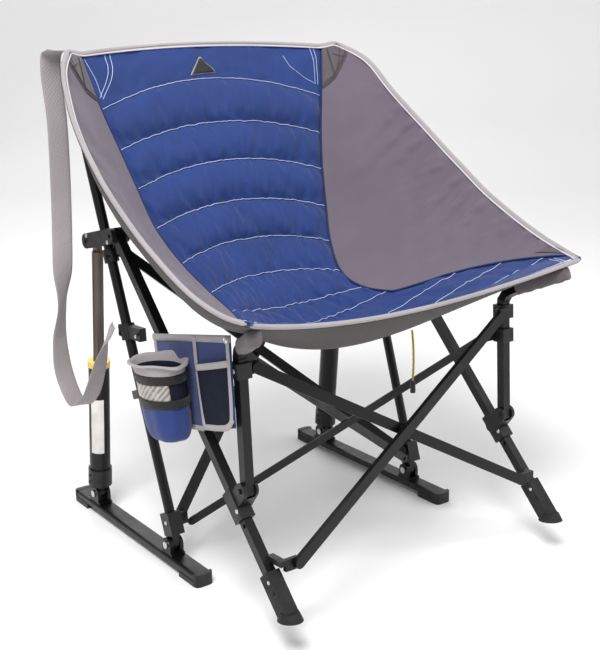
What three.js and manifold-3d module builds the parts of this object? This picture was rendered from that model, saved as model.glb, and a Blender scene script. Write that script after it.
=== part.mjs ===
import * as THREE from "three";
import Module from "manifold-3d";
import { mergeVertices } from "three/addons/utils/BufferGeometryUtils.js";

// Folding rocking camp chair: two ground rails, a frame that rocks on them against two gas
// springs, folding cross bars, and a deep fabric pod seat. The chair faces -Y. Millimetres.

// ---- driving dimensions ----
const GAP = 0.35;
const RAIL_X = 293;
const RAIL_REAR_Y = 411;
const RAIL_FRONT_Y = -90;
const RAIL_WIDTH = 36;
const RAIL_HEIGHT = 13;
const RAIL_BASE_Z = 10.5;
const CAP_LENGTH = 62;
const CAP_TIP = 12;
const FRONT_PIN = { y: 23, z: 42 };
const REAR_PIN = { y: 321.4, z: 43 };
// The frame's own upright attitude is turned back by LEAN on its front pins and lifted.
const LEAN = THREE.MathUtils.degToRad(3);
const FRAME_LIFT = 24;
const ORIGIN_SHIFT_Y = 8.5;
const PIN_RADIUS = 4;
const UPRIGHT_RADIUS = 9.5;
const UPRIGHT_LOW = [293, 19, 60];
const HUB_TOP = 80;
const UPRIGHT_TOP = [310.7, 264.3, 905];
const BRACKET_Z = 590;
const BRACKET_REAR = { y: 234, z: 572 };
const PISTON_X = 293;
const CYLINDER_RADIUS = 21;
const ROD_RADIUS = 11;
const EYE_CLEARANCE = 3.4;
const TUBE = 17;
const LEG_TOP = [300, 134, 590];
const LEG_FOOT = [304, -378, 10];
const BOOT_TOP = 80;
const SOLE_TILT = THREE.MathUtils.degToRad(6);
const HUB_PIN = [300, -256, 205];
const FRONT_POST_X = 298;
const FRONT_POST_TOP = [344, -372, 486];
const BAR_THICK = 9;
const BAR_WIDE = 19;
const STRIP_THICK = 3;
const STRIP_WIDE = 16;
const POD_THICK = 9;
const POD_ROWS = 22;
const PANEL_COLS = 5;
const SIDE_COLS = 6;
const SIDE_BULGE = 26;
const STRAP_WIDTH = 38;
const STRAP_THICK = 2.4;
const STRAP_STEPS = 40;
const CUP_BASE = [-352.5, -112, 270];
const CUP_HALF_X = 40;
const CUP_HALF_Y = 50;

const wasm = await Module();
wasm.setup();
const chair = new THREE.Group();
chair.name = "rocking_camp_chair";
chair.position.y = -ORIGIN_SHIFT_Y;
const base = new THREE.Group();
const frame = new THREE.Group();
frame.rotation.x = -LEAN;
frame.position.z = FRAME_LIFT;
chair.add(base, frame);

// A Y-Z point of the frame's own attitude in chair coordinates, and back.
function toChair(p) {
  const y = p.y * Math.cos(LEAN) + p.z * Math.sin(LEAN);
  return { y, z: p.z * Math.cos(LEAN) - p.y * Math.sin(LEAN) + FRAME_LIFT };
}

function toFrame(p) {
  const z = p.z - FRAME_LIFT;
  const y = p.y * Math.cos(LEAN) - z * Math.sin(LEAN);
  return { y, z: p.y * Math.sin(LEAN) + z * Math.cos(LEAN) };
}

const HUB_EYE = toFrame(FRONT_PIN);
const PISTON_TOP = toChair(BRACKET_REAR);

// ---- materials ----
const paint = (color, roughness, metalness) =>
  new THREE.MeshStandardMaterial({ color, roughness, metalness });
const BLACK_STEEL = paint(0x171514, 0.45, 0.6);
const BLACK_PLASTIC = paint(0x1c1b1b, 0.55, 0.0);
const RUBBER = paint(0x121212, 0.85, 0.0);
const RIVET_STEEL = paint(0xb9bab8, 0.3, 0.95);
const GREY_CHROME = paint(0x6d625c, 0.28, 0.85);
const YELLOW = paint(0xd8b52a, 0.5, 0.0);
const LABEL_WHITE = paint(0xe8e6e2, 0.6, 0.0);
const BLUE_CLOTH = paint(0x2f4fa0, 0.85, 0.0);
const GREY_WEB = paint(0x8f8888, 0.9, 0.0);
const YELLOW_CORD = paint(0xc9a227, 0.85, 0.0);

// ---- helpers ----
const vec = (p) => new THREE.Vector3(p[0], p[1], p[2]);
const lerp3 = (a, b, t) => a.map((v, i) => v + (b[i] - v) * t);
const flip = (p, side) => [p[0] * side, p[1], p[2]];

function addMesh(name, geometry, material, parent = frame) {
  const mesh = new THREE.Mesh(geometry, material);
  mesh.name = name;
  parent.add(mesh);
  return mesh;
}

// Turns +Y of a shape along the line a-b, with its +X as near `hint` as it can be.
function along(a, b, hint) {
  const up = vec(b).sub(vec(a)).normalize();
  const zAxis = vec(hint).cross(up).normalize();
  const xAxis = up.clone().cross(zAxis);
  const matrix = new THREE.Matrix4().makeBasis(xAxis, up, zAxis);
  return matrix.setPosition(vec(lerp3(a, b, 0.5)));
}

function span(a, b) {
  return vec(a).distanceTo(vec(b));
}

function cylinderAt(a, b, radius, segments = 12) {
  const shape = new THREE.CylinderGeometry(radius, radius, span(a, b), segments);
  return shape.applyMatrix4(along(a, b, Math.abs(b[0] - a[0]) > 0.9 * span(a, b) ? [0, 1, 0] : [1, 0, 0]));
}

function beamAt(a, b, acrossX, acrossZ, hint = [1, 0, 0]) {
  const shape = new THREE.BoxGeometry(acrossX, span(a, b), acrossZ);
  return shape.applyMatrix4(along(a, b, hint));
}

function boxAt(center, size) {
  return new THREE.BoxGeometry(...size).translate(...center);
}

// A profile in the Y-Z plane, extruded along X about a middle plane.
function slabYZ(points, xMid, width) {
  const shape = new THREE.Shape(points.map((p) => new THREE.Vector2(p[0], p[1])));
  const geometry = new THREE.ExtrudeGeometry(shape, { depth: width, bevelEnabled: false });
  const turn = new THREE.Matrix4().makeBasis(vec([0, 1, 0]), vec([0, 0, 1]), vec([1, 0, 0]));
  return geometry.applyMatrix4(turn).translate(xMid - width / 2, 0, 0);
}

function solid(geometry) {
  const bare = geometry.clone();
  bare.deleteAttribute("normal");
  bare.deleteAttribute("uv");
  const merged = mergeVertices(bare, 1e-4);
  const mesh = new wasm.Mesh({
    numProp: 3,
    vertProperties: new Float32Array(merged.attributes.position.array),
    triVerts: new Uint32Array(merged.index.array),
  });
  return new wasm.Manifold(mesh);
}

function combine(adds, cuts = []) {
  let body = solid(adds[0]);
  for (const piece of adds.slice(1)) {
    body = body.add(solid(piece));
  }
  for (const piece of cuts) {
    body = body.subtract(solid(piece));
  }
  const mesh = body.getMesh();
  const geometry = new THREE.BufferGeometry();
  geometry.setAttribute("position", new THREE.BufferAttribute(mesh.vertProperties, 3));
  geometry.setIndex(new THREE.BufferAttribute(mesh.triVerts, 1));
  return geometry;
}

function stadium(a, b, radius, steps = 8) {
  const angle = Math.atan2(b[1] - a[1], b[0] - a[0]);
  const points = [];
  for (const [center, start] of [[b, angle - Math.PI / 2], [a, angle + Math.PI / 2]]) {
    for (let i = 0; i <= steps; i += 1) {
      const t = start + (Math.PI * i) / steps;
      points.push([center[0] + radius * Math.cos(t), center[1] + radius * Math.sin(t)]);
    }
  }
  return points;
}

function atHeight(a, b, z) {
  return lerp3(a, b, (z - a[2]) / (b[2] - a[2]));
}

// ---- cross bars ----
// Each bar: its two ends, its width and its thickness.
const BARS = {
  front_bar_outer: [[-266, -347, 97], [272, -278, 408], BAR_WIDE, BAR_THICK],
  front_bar_inner: [[266, -333, 97], [-272, -264, 408], BAR_WIDE, BAR_THICK],
  rear_bar_outer: [[268, 15, 68], [-268, 245, 568], BAR_WIDE, BAR_THICK],
  rear_bar_inner: [[-268, 31, 68], [268, 261, 568], BAR_WIDE, BAR_THICK],
  diagonal_strip_lower: [[273, -238, 362], [-261, 2, 60], STRIP_WIDE, STRIP_THICK],
  diagonal_strip_upper: [[-273, -238, 424], [261, -4, 56], STRIP_WIDE, STRIP_THICK],
};

// A flat bar with round ends between two points; `grow` swells it to cut a seat for it.
function barSolid(name, grow = 0) {
  const [a, b, wide, thick] = BARS[name];
  const length = span(a, b);
  const outline = new THREE.Shape(stadium([0, -length / 2], [0, length / 2], wide / 2 + grow, 6)
    .map((p) => new THREE.Vector2(p[0], p[1])));
  const depth = thick + 2 * grow;
  const pieces = [new THREE.ExtrudeGeometry(outline, { depth, bevelEnabled: false })
    .translate(0, 0, -depth / 2)];
  for (const end of [-1, 1]) {
    pieces.push(new THREE.CylinderGeometry(4.5 + grow, 4.5 + grow, 2.4 + 2 * grow, 12)
      .rotateX(Math.PI / 2).translate(0, (end * length) / 2, -(thick / 2 + 0.8)));
  }
  const across = [Math.abs(b[2] - a[2]), 0, -Math.sign(b[2] - a[2]) * (b[0] - a[0])];
  return combine(pieces).applyMatrix4(along(a, b, across));
}

function makeCrossBars() {
  for (const name of Object.keys(BARS)) {
    addMesh(name, barSolid(name), BLACK_STEEL);
  }
}

// ---- ground rails ----
const RAIL_TOP_Z = RAIL_BASE_Z + RAIL_HEIGHT;

function railSection(width, height) {
  const round = height * 0.42;
  const shape = new THREE.Shape();
  shape.moveTo(-width / 2, 0);
  shape.lineTo(width / 2, 0);
  shape.lineTo(width / 2, height - round);
  shape.quadraticCurveTo(width / 2, height, width / 2 - round * 1.4, height);
  shape.lineTo(-width / 2 + round * 1.4, height);
  shape.quadraticCurveTo(-width / 2, height, -width / 2, height - round);
  shape.closePath();
  return shape;
}

function alongY(shape, length) {
  const geometry = new THREE.ExtrudeGeometry(shape, {
    depth: length, bevelEnabled: false, curveSegments: 5,
  });
  return geometry.rotateX(Math.PI / 2);
}

function makeRail(side, tag) {
  const length = RAIL_REAR_Y - RAIL_FRONT_Y - 2 * CAP_TIP;
  const shape = railSection(RAIL_WIDTH, RAIL_HEIGHT);
  const rail = addMesh(`rail_${tag}`, alongY(shape, length), BLACK_STEEL, base);
  rail.position.set(side * RAIL_X, RAIL_REAR_Y - CAP_TIP, RAIL_BASE_Z);
  makeRailCap(side, tag, "rear", RAIL_REAR_Y, Math.PI);
  makeRailCap(side, tag, "front", RAIL_FRONT_Y, 0);
}

// A round-nosed plan outline from the tip (y = 0) back to `length`.
function nose(width, length, round, height) {
  const outline = new THREE.Shape();
  outline.moveTo(-width / 2, length);
  outline.lineTo(-width / 2, round);
  outline.quadraticCurveTo(-width / 2, 0, -width / 2 + round, 0);
  outline.lineTo(width / 2 - round, 0);
  outline.quadraticCurveTo(width / 2, 0, width / 2, round);
  outline.lineTo(width / 2, length);
  outline.closePath();
  return new THREE.ExtrudeGeometry(outline, { depth: height, bevelEnabled: false, curveSegments: 4 });
}

// Rubber pad under each rail end, with a plug that closes the tube.
function makeRailCap(side, tag, where, tipY, turn) {
  const width = RAIL_WIDTH + 2;
  const pad = nose(width, CAP_LENGTH, 13, RAIL_BASE_Z - GAP);
  const plug = nose(width, CAP_TIP - GAP, 11, RAIL_TOP_Z + 0.5);
  const cap = addMesh(`rail_${tag}_cap_${where}`, combine([pad, plug]), RUBBER, base);
  cap.position.set(side * RAIL_X, tipY, 0);
  cap.rotation.z = turn;
}

// ---- clevises on the rails, with their pins ----
const CHEEK = 7;
const TONGUE = 14;

function makeClevis(side, tag, where, pin, tongue, reach) {
  const x = side * RAIL_X;
  const floor = RAIL_TOP_Z + GAP;
  const plateWidth = tongue + 2 * (CHEEK + GAP);
  const plate = boxAt([x, pin.y, floor + 2], [plateWidth, 2 * reach + 8, 4]);
  const cheeks = [-1, 1].map((end) => {
    const outline = stadium([pin.y, pin.z], [pin.y, floor + 3], reach - 1);
    const trimmed = outline.map((p) => [p[0], Math.max(p[1], floor + 0.5)]);
    return slabYZ(trimmed, x + end * (tongue / 2 + GAP + CHEEK / 2), CHEEK);
  });
  const bore = cylinderAt([x - 30, pin.y, pin.z], [x + 30, pin.y, pin.z], PIN_RADIUS + GAP);
  addMesh(`clevis_${tag}_${where}`, combine([plate, ...cheeks], [bore]), BLACK_STEEL, base);
  const half = tongue / 2 + CHEEK + 2 * GAP;
  const pinParts = [
    cylinderAt([x - half - 1, pin.y, pin.z], [x + half + 1, pin.y, pin.z], PIN_RADIUS),
    cylinderAt([x - half - 3, pin.y, pin.z], [x - half, pin.y, pin.z], PIN_RADIUS + 3),
    cylinderAt([x + half, pin.y, pin.z], [x + half + 3, pin.y, pin.z], PIN_RADIUS + 3),
  ];
  addMesh(`pin_${tag}_${where}`, combine(pinParts), RIVET_STEEL, base);
}

// ---- gas springs ----
const PISTON_LENGTH = Math.hypot(PISTON_TOP.y - REAR_PIN.y, PISTON_TOP.z - REAR_PIN.z);

function pistonPoint(side, distance) {
  const t = distance / PISTON_LENGTH;
  const y = REAR_PIN.y + (PISTON_TOP.y - REAR_PIN.y) * t;
  const z = REAR_PIN.z + (PISTON_TOP.z - REAR_PIN.z) * t;
  return [side * PISTON_X, y, z];
}

function makeGasSpring(side, tag) {
  const at = (distance) => pistonPoint(side, distance);
  const x = side * PISTON_X;
  const eye = cylinderAt([x - 7, REAR_PIN.y, REAR_PIN.z], [x + 7, REAR_PIN.y, REAR_PIN.z], 12, 24);
  const eyeBore = cylinderAt([x - 9, REAR_PIN.y, REAR_PIN.z], [x + 9, REAR_PIN.y, REAR_PIN.z], PIN_RADIUS + GAP);
  const neck = beamAt(at(8), at(24), 14, 18);
  const cup = cylinderAt(at(20), at(58), CYLINDER_RADIUS + 3, 24);
  const screws = [30, 44].map((d) => {
    const p = at(d);
    const reach = CYLINDER_RADIUS + 4.5;
    return cylinderAt([p[0] - reach, p[1], p[2]], [p[0] + reach, p[1], p[2]], 3, 12);
  });
  addMesh(`spring_base_${tag}`, combine([eye, neck, cup, ...screws], [eyeBore]), BLACK_PLASTIC, base);
  const tube = cylinderAt(at(58 + GAP), at(282), CYLINDER_RADIUS, 24);
  const bore = cylinderAt(at(68), at(290), ROD_RADIUS + 0.6, 20);
  addMesh(`spring_tube_${tag}`, combine([tube], [bore]), GREY_CHROME, base);
  const ring = cylinderAt(at(282 + GAP), at(295), CYLINDER_RADIUS + 1.5, 24);
  const ringBore = cylinderAt(at(275), at(300), ROD_RADIUS + 0.6, 20);
  addMesh(`spring_ring_${tag}`, combine([ring], [ringBore]), YELLOW, base);
  const rod = cylinderAt(at(150), at(PISTON_LENGTH - 23), ROD_RADIUS, 20);
  const tip = at(PISTON_LENGTH);
  const topEye = cylinderAt([tip[0] - 5.5, tip[1], tip[2]], [tip[0] + 5.5, tip[1], tip[2]], 13.5, 24);
  const topNeck = beamAt(at(PISTON_LENGTH - 32), at(PISTON_LENGTH - 9), 11, 17);
  const hole = PIN_RADIUS + EYE_CLEARANCE;
  const topBore = cylinderAt([tip[0] - 9, tip[1], tip[2]], [tip[0] + 9, tip[1], tip[2]], hole, 24);
  addMesh(`spring_rod_${tag}`, combine([rod, topEye, topNeck], [topBore]), GREY_CHROME, base);
}

// Warning label wrapped on the near side of one spring tube.
function makeSpringLabel() {
  const arc = 0.62;
  const outer = CYLINDER_RADIUS + 0.9;
  const inner = CYLINDER_RADIUS + 0.3;
  const shape = new THREE.Shape();
  shape.absarc(0, 0, outer, -arc, arc, false);
  shape.absarc(0, 0, inner, arc, -arc, true);
  shape.closePath();
  const geometry = new THREE.ExtrudeGeometry(shape, { depth: 118, bevelEnabled: false, curveSegments: 10 });
  const low = vec(pistonPoint(-1, 98));
  const zAxis = vec(pistonPoint(-1, 200)).sub(low).normalize();
  const facing = vec([-0.62, -0.78, 0]);
  const yAxis = zAxis.clone().cross(facing).normalize();
  const xAxis = yAxis.clone().cross(zAxis);
  geometry.applyMatrix4(new THREE.Matrix4().makeBasis(xAxis, yAxis, zAxis).setPosition(low));
  addMesh("spring_label_left", geometry, LABEL_WHITE, base);
}

// ---- rear uprights and their fittings ----
function makeRearHub(side, tag) {
  const x = side * RAIL_X;
  const eye = [HUB_EYE.y, HUB_EYE.z];
  const tongue = slabYZ(stadium(eye, [HUB_EYE.y, 46], 12), x, TONGUE);
  const socketLow = flip(atHeight(UPRIGHT_LOW, UPRIGHT_TOP, 39), side);
  const socket = beamAt(socketLow, flip(atHeight(UPRIGHT_LOW, UPRIGHT_TOP, HUB_TOP), side), 27, 31);
  const bore = cylinderAt([x - 12, ...eye], [x + 12, ...eye], PIN_RADIUS + GAP);
  const lug = boxAt([side * 272, side > 0 ? 24 : 22, 64], [24, 9, 24]);
  const seats = Object.keys(BARS).map((name) => barSolid(name, GAP));
  addMesh(`rear_hub_${tag}`, combine([tongue, socket, lug], [bore, ...seats]), BLACK_PLASTIC);
}

function makeUpright(side, tag) {
  const low = flip(atHeight(UPRIGHT_LOW, UPRIGHT_TOP, HUB_TOP + 0.8), side);
  addMesh(`rear_upright_${tag}`, cylinderAt(low, flip(UPRIGHT_TOP, side), UPRIGHT_RADIUS, 20), BLACK_STEEL);
  const stopLow = flip(atHeight(UPRIGHT_LOW, UPRIGHT_TOP, 538), side);
  const stopHigh = flip(atHeight(UPRIGHT_LOW, UPRIGHT_TOP, 562), side);
  const ring = cylinderAt(stopLow, stopHigh, UPRIGHT_RADIUS + 4.5, 24);
  const bore = cylinderAt(flip(atHeight(UPRIGHT_LOW, UPRIGHT_TOP, 520), side),
    flip(atHeight(UPRIGHT_LOW, UPRIGHT_TOP, 580), side), UPRIGHT_RADIUS + GAP, 24);
  const mid = lerp3(stopLow, stopHigh, 0.5);
  const screw = cylinderAt([mid[0] - 17, mid[1] - 9, mid[2]], [mid[0] + 17, mid[1] - 9, mid[2]], 3.5, 12);
  addMesh(`upright_stop_${tag}`, combine([ring, screw], [bore]), BLACK_PLASTIC);
}

function makeUpperBracket(side, tag) {
  const x = side * 300;
  const front = [LEG_TOP[1], LEG_TOP[2]];
  const rear = [BRACKET_REAR.y, BRACKET_REAR.z];
  const block = slabYZ(stadium(front, rear, 14.5, 8), x, 37);
  const low = flip(atHeight(UPRIGHT_LOW, UPRIGHT_TOP, 540), side);
  const high = flip(atHeight(UPRIGHT_LOW, UPRIGHT_TOP, 640), side);
  const bore = cylinderAt(low, high, UPRIGHT_RADIUS + GAP, 24);
  const legSlot = boxAt([side * LEG_TOP[0], LEG_TOP[1] - 4, LEG_TOP[2]], [TUBE + 1, 31, 60]);
  const eyeSlot = boxAt([side * PISTON_X, rear[0] + 4, rear[1]], [12.4, 44, 60]);
  const pin = cylinderAt([x - 21, rear[0], rear[1]], [x + 21, rear[0], rear[1]], PIN_RADIUS, 20);
  const rivet = [front].flatMap((p) => [-1, 1].map((end) =>
    cylinderAt([x + end * 17, p[0], p[1]], [x + end * 21, p[0], p[1]], 4, 14)));
  const cut = combine([block], [bore, legSlot, eyeSlot]);
  addMesh(`upper_bracket_${tag}`, combine([cut, pin, ...rivet]), BLACK_PLASTIC);
}

function makeMidBracket() {
  const center = flip(atHeight(UPRIGHT_LOW, UPRIGHT_TOP, 411), -1);
  const collarLow = flip(atHeight(UPRIGHT_LOW, UPRIGHT_TOP, 397), -1);
  const collarHigh = flip(atHeight(UPRIGHT_LOW, UPRIGHT_TOP, 425), -1);
  const collar = cylinderAt(collarLow, collarHigh, UPRIGHT_RADIUS + 5, 24);
  const arm = boxAt([center[0], center[1] - 34, center[2] + 2], [14, 46, 24]);
  const tail = boxAt([center[0], center[1] + 18, center[2]], [14, 16, 22]);
  const bore = cylinderAt(flip(atHeight(UPRIGHT_LOW, UPRIGHT_TOP, 380), -1),
    flip(atHeight(UPRIGHT_LOW, UPRIGHT_TOP, 440), -1), UPRIGHT_RADIUS + GAP, 24);
  const screws = [[20, 6], [20, -6], [-50, 4]].map(([dy, dz]) =>
    cylinderAt([center[0] - 9, center[1] + dy, center[2] + dz],
      [center[0] + 9, center[1] + dy, center[2] + dz], 3.2, 12));
  addMesh("mid_bracket_left", combine([collar, arm, tail, ...screws], [bore]), BLACK_PLASTIC);
}

// ---- front legs, sliding hubs and feet ----
function legPoint(side, z) {
  return flip(atHeight(LEG_TOP, LEG_FOOT, z), side);
}

function makeLeg(side, tag) {
  const tube = beamAt(legPoint(side, LEG_TOP[2] - 3), legPoint(side, BOOT_TOP + 0.6), TUBE, TUBE);
  const stop = legPoint(side, 145);
  const pin = cylinderAt([stop[0] - 11.5, stop[1], stop[2]], [stop[0] + 11.5, stop[1], stop[2]], 3.5, 14);
  const rearBar = side > 0;
  const faceY = (rearBar ? -333 : -347) + BAR_THICK / 2 - 2;
  const lug = boxAt([side * 277, faceY + 4, 97], [26, 8, 20]);
  const web = boxAt([side * 294, (faceY - 306) / 2, 102], [12, -306 - faceY, 10]);
  const seat = barSolid(rearBar ? "front_bar_inner" : "front_bar_outer", GAP);
  addMesh(`front_leg_${tag}`, combine([tube, pin, lug, web], [seat]), BLACK_STEEL);
}

function makeLegHub(side, tag) {
  const low = legPoint(side, 152);
  const high = legPoint(side, 194);
  const sleeve = beamAt(low, high, 27, 27);
  const mid = legPoint(side, 178);
  const pin = flip(HUB_PIN, side);
  const ear = slabYZ(stadium([mid[1] - 4, mid[2]], [pin[1], pin[2]], 14, 8), side * 299, 29);
  const fork = boxAt([side * FRONT_POST_X, pin[1] - 4, pin[2] + 22], [TUBE + 1, 36, 70]);
  const bore = beamAt(legPoint(side, 120), legPoint(side, 300), TUBE + 2 * GAP, TUBE + 2 * GAP);
  const rivets = [-1, 1].map((end) => {
    const x = side * 300 + end * 13.5;
    return cylinderAt([x, pin[1], pin[2]], [x + end * 3.5, pin[1], pin[2]], 4.5, 14);
  });
  const body = combine([sleeve, ear], [fork, bore]);
  addMesh(`leg_hub_${tag}`, combine([body, ...rivets]), BLACK_PLASTIC);
}

function makeFoot(side, tag) {
  const socket = beamAt(legPoint(side, BOOT_TOP), legPoint(side, 20), 26, 26);
  const sole = legPoint(side, 20);
  const flare = new THREE.CylinderGeometry(15, 20, 14, 20).scale(1, 1, 1.25);
  flare.rotateX(Math.PI / 2 - SOLE_TILT).translate(sole[0], sole[1], sole[2] + 5);
  const below = new THREE.BoxGeometry(90, 120, 80);
  below.translate(0, 0, -40).rotateX(-SOLE_TILT).translate(sole[0], sole[1], sole[2] - 2);
  const screw = cylinderAt([sole[0] - 15, -344, 58], [sole[0] + 15, -344, 58], 3.4, 12);
  addMesh(`foot_${tag}`, combine([socket, flare, screw], [below]), BLACK_PLASTIC);
}

// ---- front posts: square tube, straight, then bent out to the seat's front corner ----
function makeFrontPost(side, tag) {
  const x = side * FRONT_POST_X;
  const path = new THREE.CurvePath();
  const low = vec([x, HUB_PIN[1], HUB_PIN[2] - 9]);
  const bendLow = vec([x, HUB_PIN[1], 423]);
  const corner = vec([x, HUB_PIN[1], 443]);
  const bendHigh = vec([side * 307, -280, 451]);
  path.add(new THREE.LineCurve3(low, bendLow));
  path.add(new THREE.QuadraticBezierCurve3(bendLow, corner, bendHigh));
  path.add(new THREE.LineCurve3(bendHigh, vec(flip(FRONT_POST_TOP, side))));
  const spine = new THREE.CatmullRomCurve3(path.getSpacedPoints(24), false, "centripetal");
  const half = TUBE / 2;
  const section = new THREE.Shape([
    new THREE.Vector2(-half, -half), new THREE.Vector2(half, -half),
    new THREE.Vector2(half, half), new THREE.Vector2(-half, half),
  ]);
  const geometry = new THREE.ExtrudeGeometry(section, {
    steps: 24, bevelEnabled: false, extrudePath: spine,
  });
  addMesh(`front_post_${tag}`, geometry, BLACK_STEEL);
}

function makePostBracket(name, side, z, barName, faceY) {
  const x = side * FRONT_POST_X;
  const collar = boxAt([x, HUB_PIN[1], z], [TUBE + 10, TUBE + 10, 26]);
  const bore = boxAt([x, HUB_PIN[1], z], [TUBE + 2 * GAP, TUBE + 2 * GAP, 60]);
  const reachY = (faceY + HUB_PIN[1]) / 2;
  const lug = boxAt([side * 278, faceY + 3, z], [28, 8, 20]);
  const web = boxAt([side * 287, reachY, z], [7, Math.abs(faceY - HUB_PIN[1]) + 2, 20]);
  addMesh(name, combine([collar, lug, web], [bore, barSolid(barName, GAP)]), BLACK_PLASTIC);
}

function makeRivets() {
  const joints = [
    ["front_cross_rivet", [1.5, -305.9, 252.5], [0, -0.976, 0.217], 1.2],
    ["rear_cross_rivet", [0, 138, 318], [0, -0.909, 0.418], 1.2],
  ];
  for (const [name, center, direction, half] of joints) {
    const a = center.map((v, i) => v - direction[i] * half);
    const b = center.map((v, i) => v + direction[i] * half);
    addMesh(name, cylinderAt(a, b, 5, 14), RIVET_STEEL);
  }
}

// ---- pod seat ----
// Each station runs from the back hem (first) down to the front hem (last):
// centre line, edge of the padded panel, and rim, on the chair's left-right mirror's + side.
const STATIONS = [
  [[0, 292, 934], [285, 262, 921], [312, 250, 928]],
  [[0, 268, 862], [260, 237, 814], [352, 190, 888]],
  [[0, 238, 775], [239, 216, 737], [370, 135, 825]],
  [[0, 212, 700], [221, 192, 663], [380, 85, 778]],
  [[0, 185, 620], [204, 162, 588], [386, 35, 737]],
  [[0, 150, 545], [178, 118, 522], [389, -15, 697]],
  [[0, 100, 480], [155, 57, 470], [390, -65, 661]],
  [[0, 36, 425], [155, -8, 446], [389, -120, 623]],
  [[0, -40, 392], [180, -78, 441], [388, -175, 592]],
  [[0, -110, 382], [218, -150, 448], [387, -230, 564]],
  [[0, -185, 392], [260, -225, 464], [384, -285, 541]],
  [[0, -255, 425], [308, -305, 488], [376, -345, 523]],
  [[0, -316, 465], [348, -380, 510], [359, -393, 515]],
];

function stationCurve(which) {
  return new THREE.CatmullRomCurve3(STATIONS.map((s) => vec(s[which])), false, "catmullrom", 0.5);
}

function podSurface() {
  const [center, edge, rim] = [0, 1, 2].map(stationCurve);
  const rows = [];
  for (let i = 0; i <= POD_ROWS; i += 1) {
    const t = i / POD_ROWS;
    const c = center.getPoint(t);
    const e = edge.getPoint(t);
    const r = rim.getPoint(t);
    const half = [];
    for (let j = 0; j < PANEL_COLS; j += 1) {
      const s = j / PANEL_COLS;
      half.push(new THREE.Vector3(e.x * s, c.y + (e.y - c.y) * s * s, c.z + (e.z - c.z) * s * s));
    }
    const bulge = SIDE_BULGE * Math.sin(Math.PI * Math.min(1, Math.max(0, t)));
    for (let j = 0; j <= SIDE_COLS; j += 1) {
      const s = j / SIDE_COLS;
      const p = e.clone().lerp(r, s);
      const swell = 4 * s * (1 - s) * bulge;
      half.push(p.add(new THREE.Vector3(0.62 * swell, 0.45 * swell, -0.64 * swell)));
    }
    const mirrored = half.slice(1).reverse().map((p) => new THREE.Vector3(-p.x, p.y, p.z));
    rows.push([...mirrored, ...half]);
  }
  return rows;
}

function shellFromGrid(rows, thickness) {
  const nRows = rows.length;
  const nCols = rows[0].length;
  const at = (i, j) => rows[Math.min(Math.max(i, 0), nRows - 1)][Math.min(Math.max(j, 0), nCols - 1)];
  const inner = [];
  const outer = [];
  for (let i = 0; i < nRows; i += 1) {
    for (let j = 0; j < nCols; j += 1) {
      const du = at(i, j + 1).clone().sub(at(i, j - 1));
      const dv = at(i + 1, j).clone().sub(at(i - 1, j));
      const normal = du.cross(dv).normalize();
      inner.push(at(i, j).clone());
      outer.push(at(i, j).clone().addScaledVector(normal, thickness));
    }
  }
  const positions = [...inner, ...outer].flatMap((p) => [p.x, p.y, p.z]);
  const shift = nRows * nCols;
  const id = (i, j) => i * nCols + j;
  const index = [];
  const quad = (a, b, c, d) => index.push(a, b, c, a, c, d);
  for (let i = 0; i < nRows - 1; i += 1) {
    for (let j = 0; j < nCols - 1; j += 1) {
      quad(id(i, j), id(i + 1, j), id(i + 1, j + 1), id(i, j + 1));
      quad(shift + id(i, j), shift + id(i, j + 1), shift + id(i + 1, j + 1), shift + id(i + 1, j));
    }
  }
  const edges = [];
  for (let i = 0; i < nRows - 1; i += 1) {
    edges.push([id(i + 1, 0), id(i, 0)]);
    edges.push([id(i, nCols - 1), id(i + 1, nCols - 1)]);
  }
  for (let j = 0; j < nCols - 1; j += 1) {
    edges.push([id(0, j), id(0, j + 1)]);
    edges.push([id(nRows - 1, j + 1), id(nRows - 1, j)]);
  }
  for (const [a, b] of edges) {
    quad(a, b, shift + b, shift + a);
  }
  const geometry = new THREE.BufferGeometry();
  geometry.setAttribute("position", new THREE.Float32BufferAttribute(positions, 3));
  geometry.setIndex(index);
  return geometry;
}

function makePod() {
  addMesh("pod_seat", shellFromGrid(podSurface(), POD_THICK), BLUE_CLOTH);
}

// ---- side organiser with a cup holder and a flat pocket ----
const POUCH_X = -314;
const POUCH_THICK = 3;

function makePouch() {
  const outline = [[-6, 430], [-257, 468], [-257, 314], [-160, 288], [-22, 268], [-14, 400]];
  const back = slabYZ([...outline].reverse(), POUCH_X, POUCH_THICK);
  const frontPocket = slabYZ([[-255, 317], [-166, 292], [-150, 402], [-255, 428]],
    POUCH_X - 8, 13);
  const pocketRoom = slabYZ([[-252, 320], [-169, 297], [-152, 460], [-252, 480]],
    POUCH_X - 7, 9);
  addMesh("pouch_panel", combine([back, combine([frontPocket], [pocketRoom])]), BLUE_CLOTH);
}

function makeCupHolder() {
  const profile = [
    [0, 0], [0.66, 0], [0.84, 10], [0.93, 40], [1, 136], [0.93, 136], [0.86, 42], [0.77, 14],
    [0.6, 4], [0, 4],
  ];
  const shape = new THREE.LatheGeometry(profile.map((p) => new THREE.Vector2(p[0], p[1])), 24);
  shape.rotateX(Math.PI / 2).scale(CUP_HALF_X, CUP_HALF_Y, 1);
  const slant = new THREE.Matrix4().set(1, 0, -0.04, 0, 0, 1, 0.14, 0, 0, 0, 1, 0, 0, 0, 0, 1);
  shape.applyMatrix4(slant).translate(...CUP_BASE);
  addMesh("cup_holder", combine([shape]), BLUE_CLOTH);
}

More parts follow.
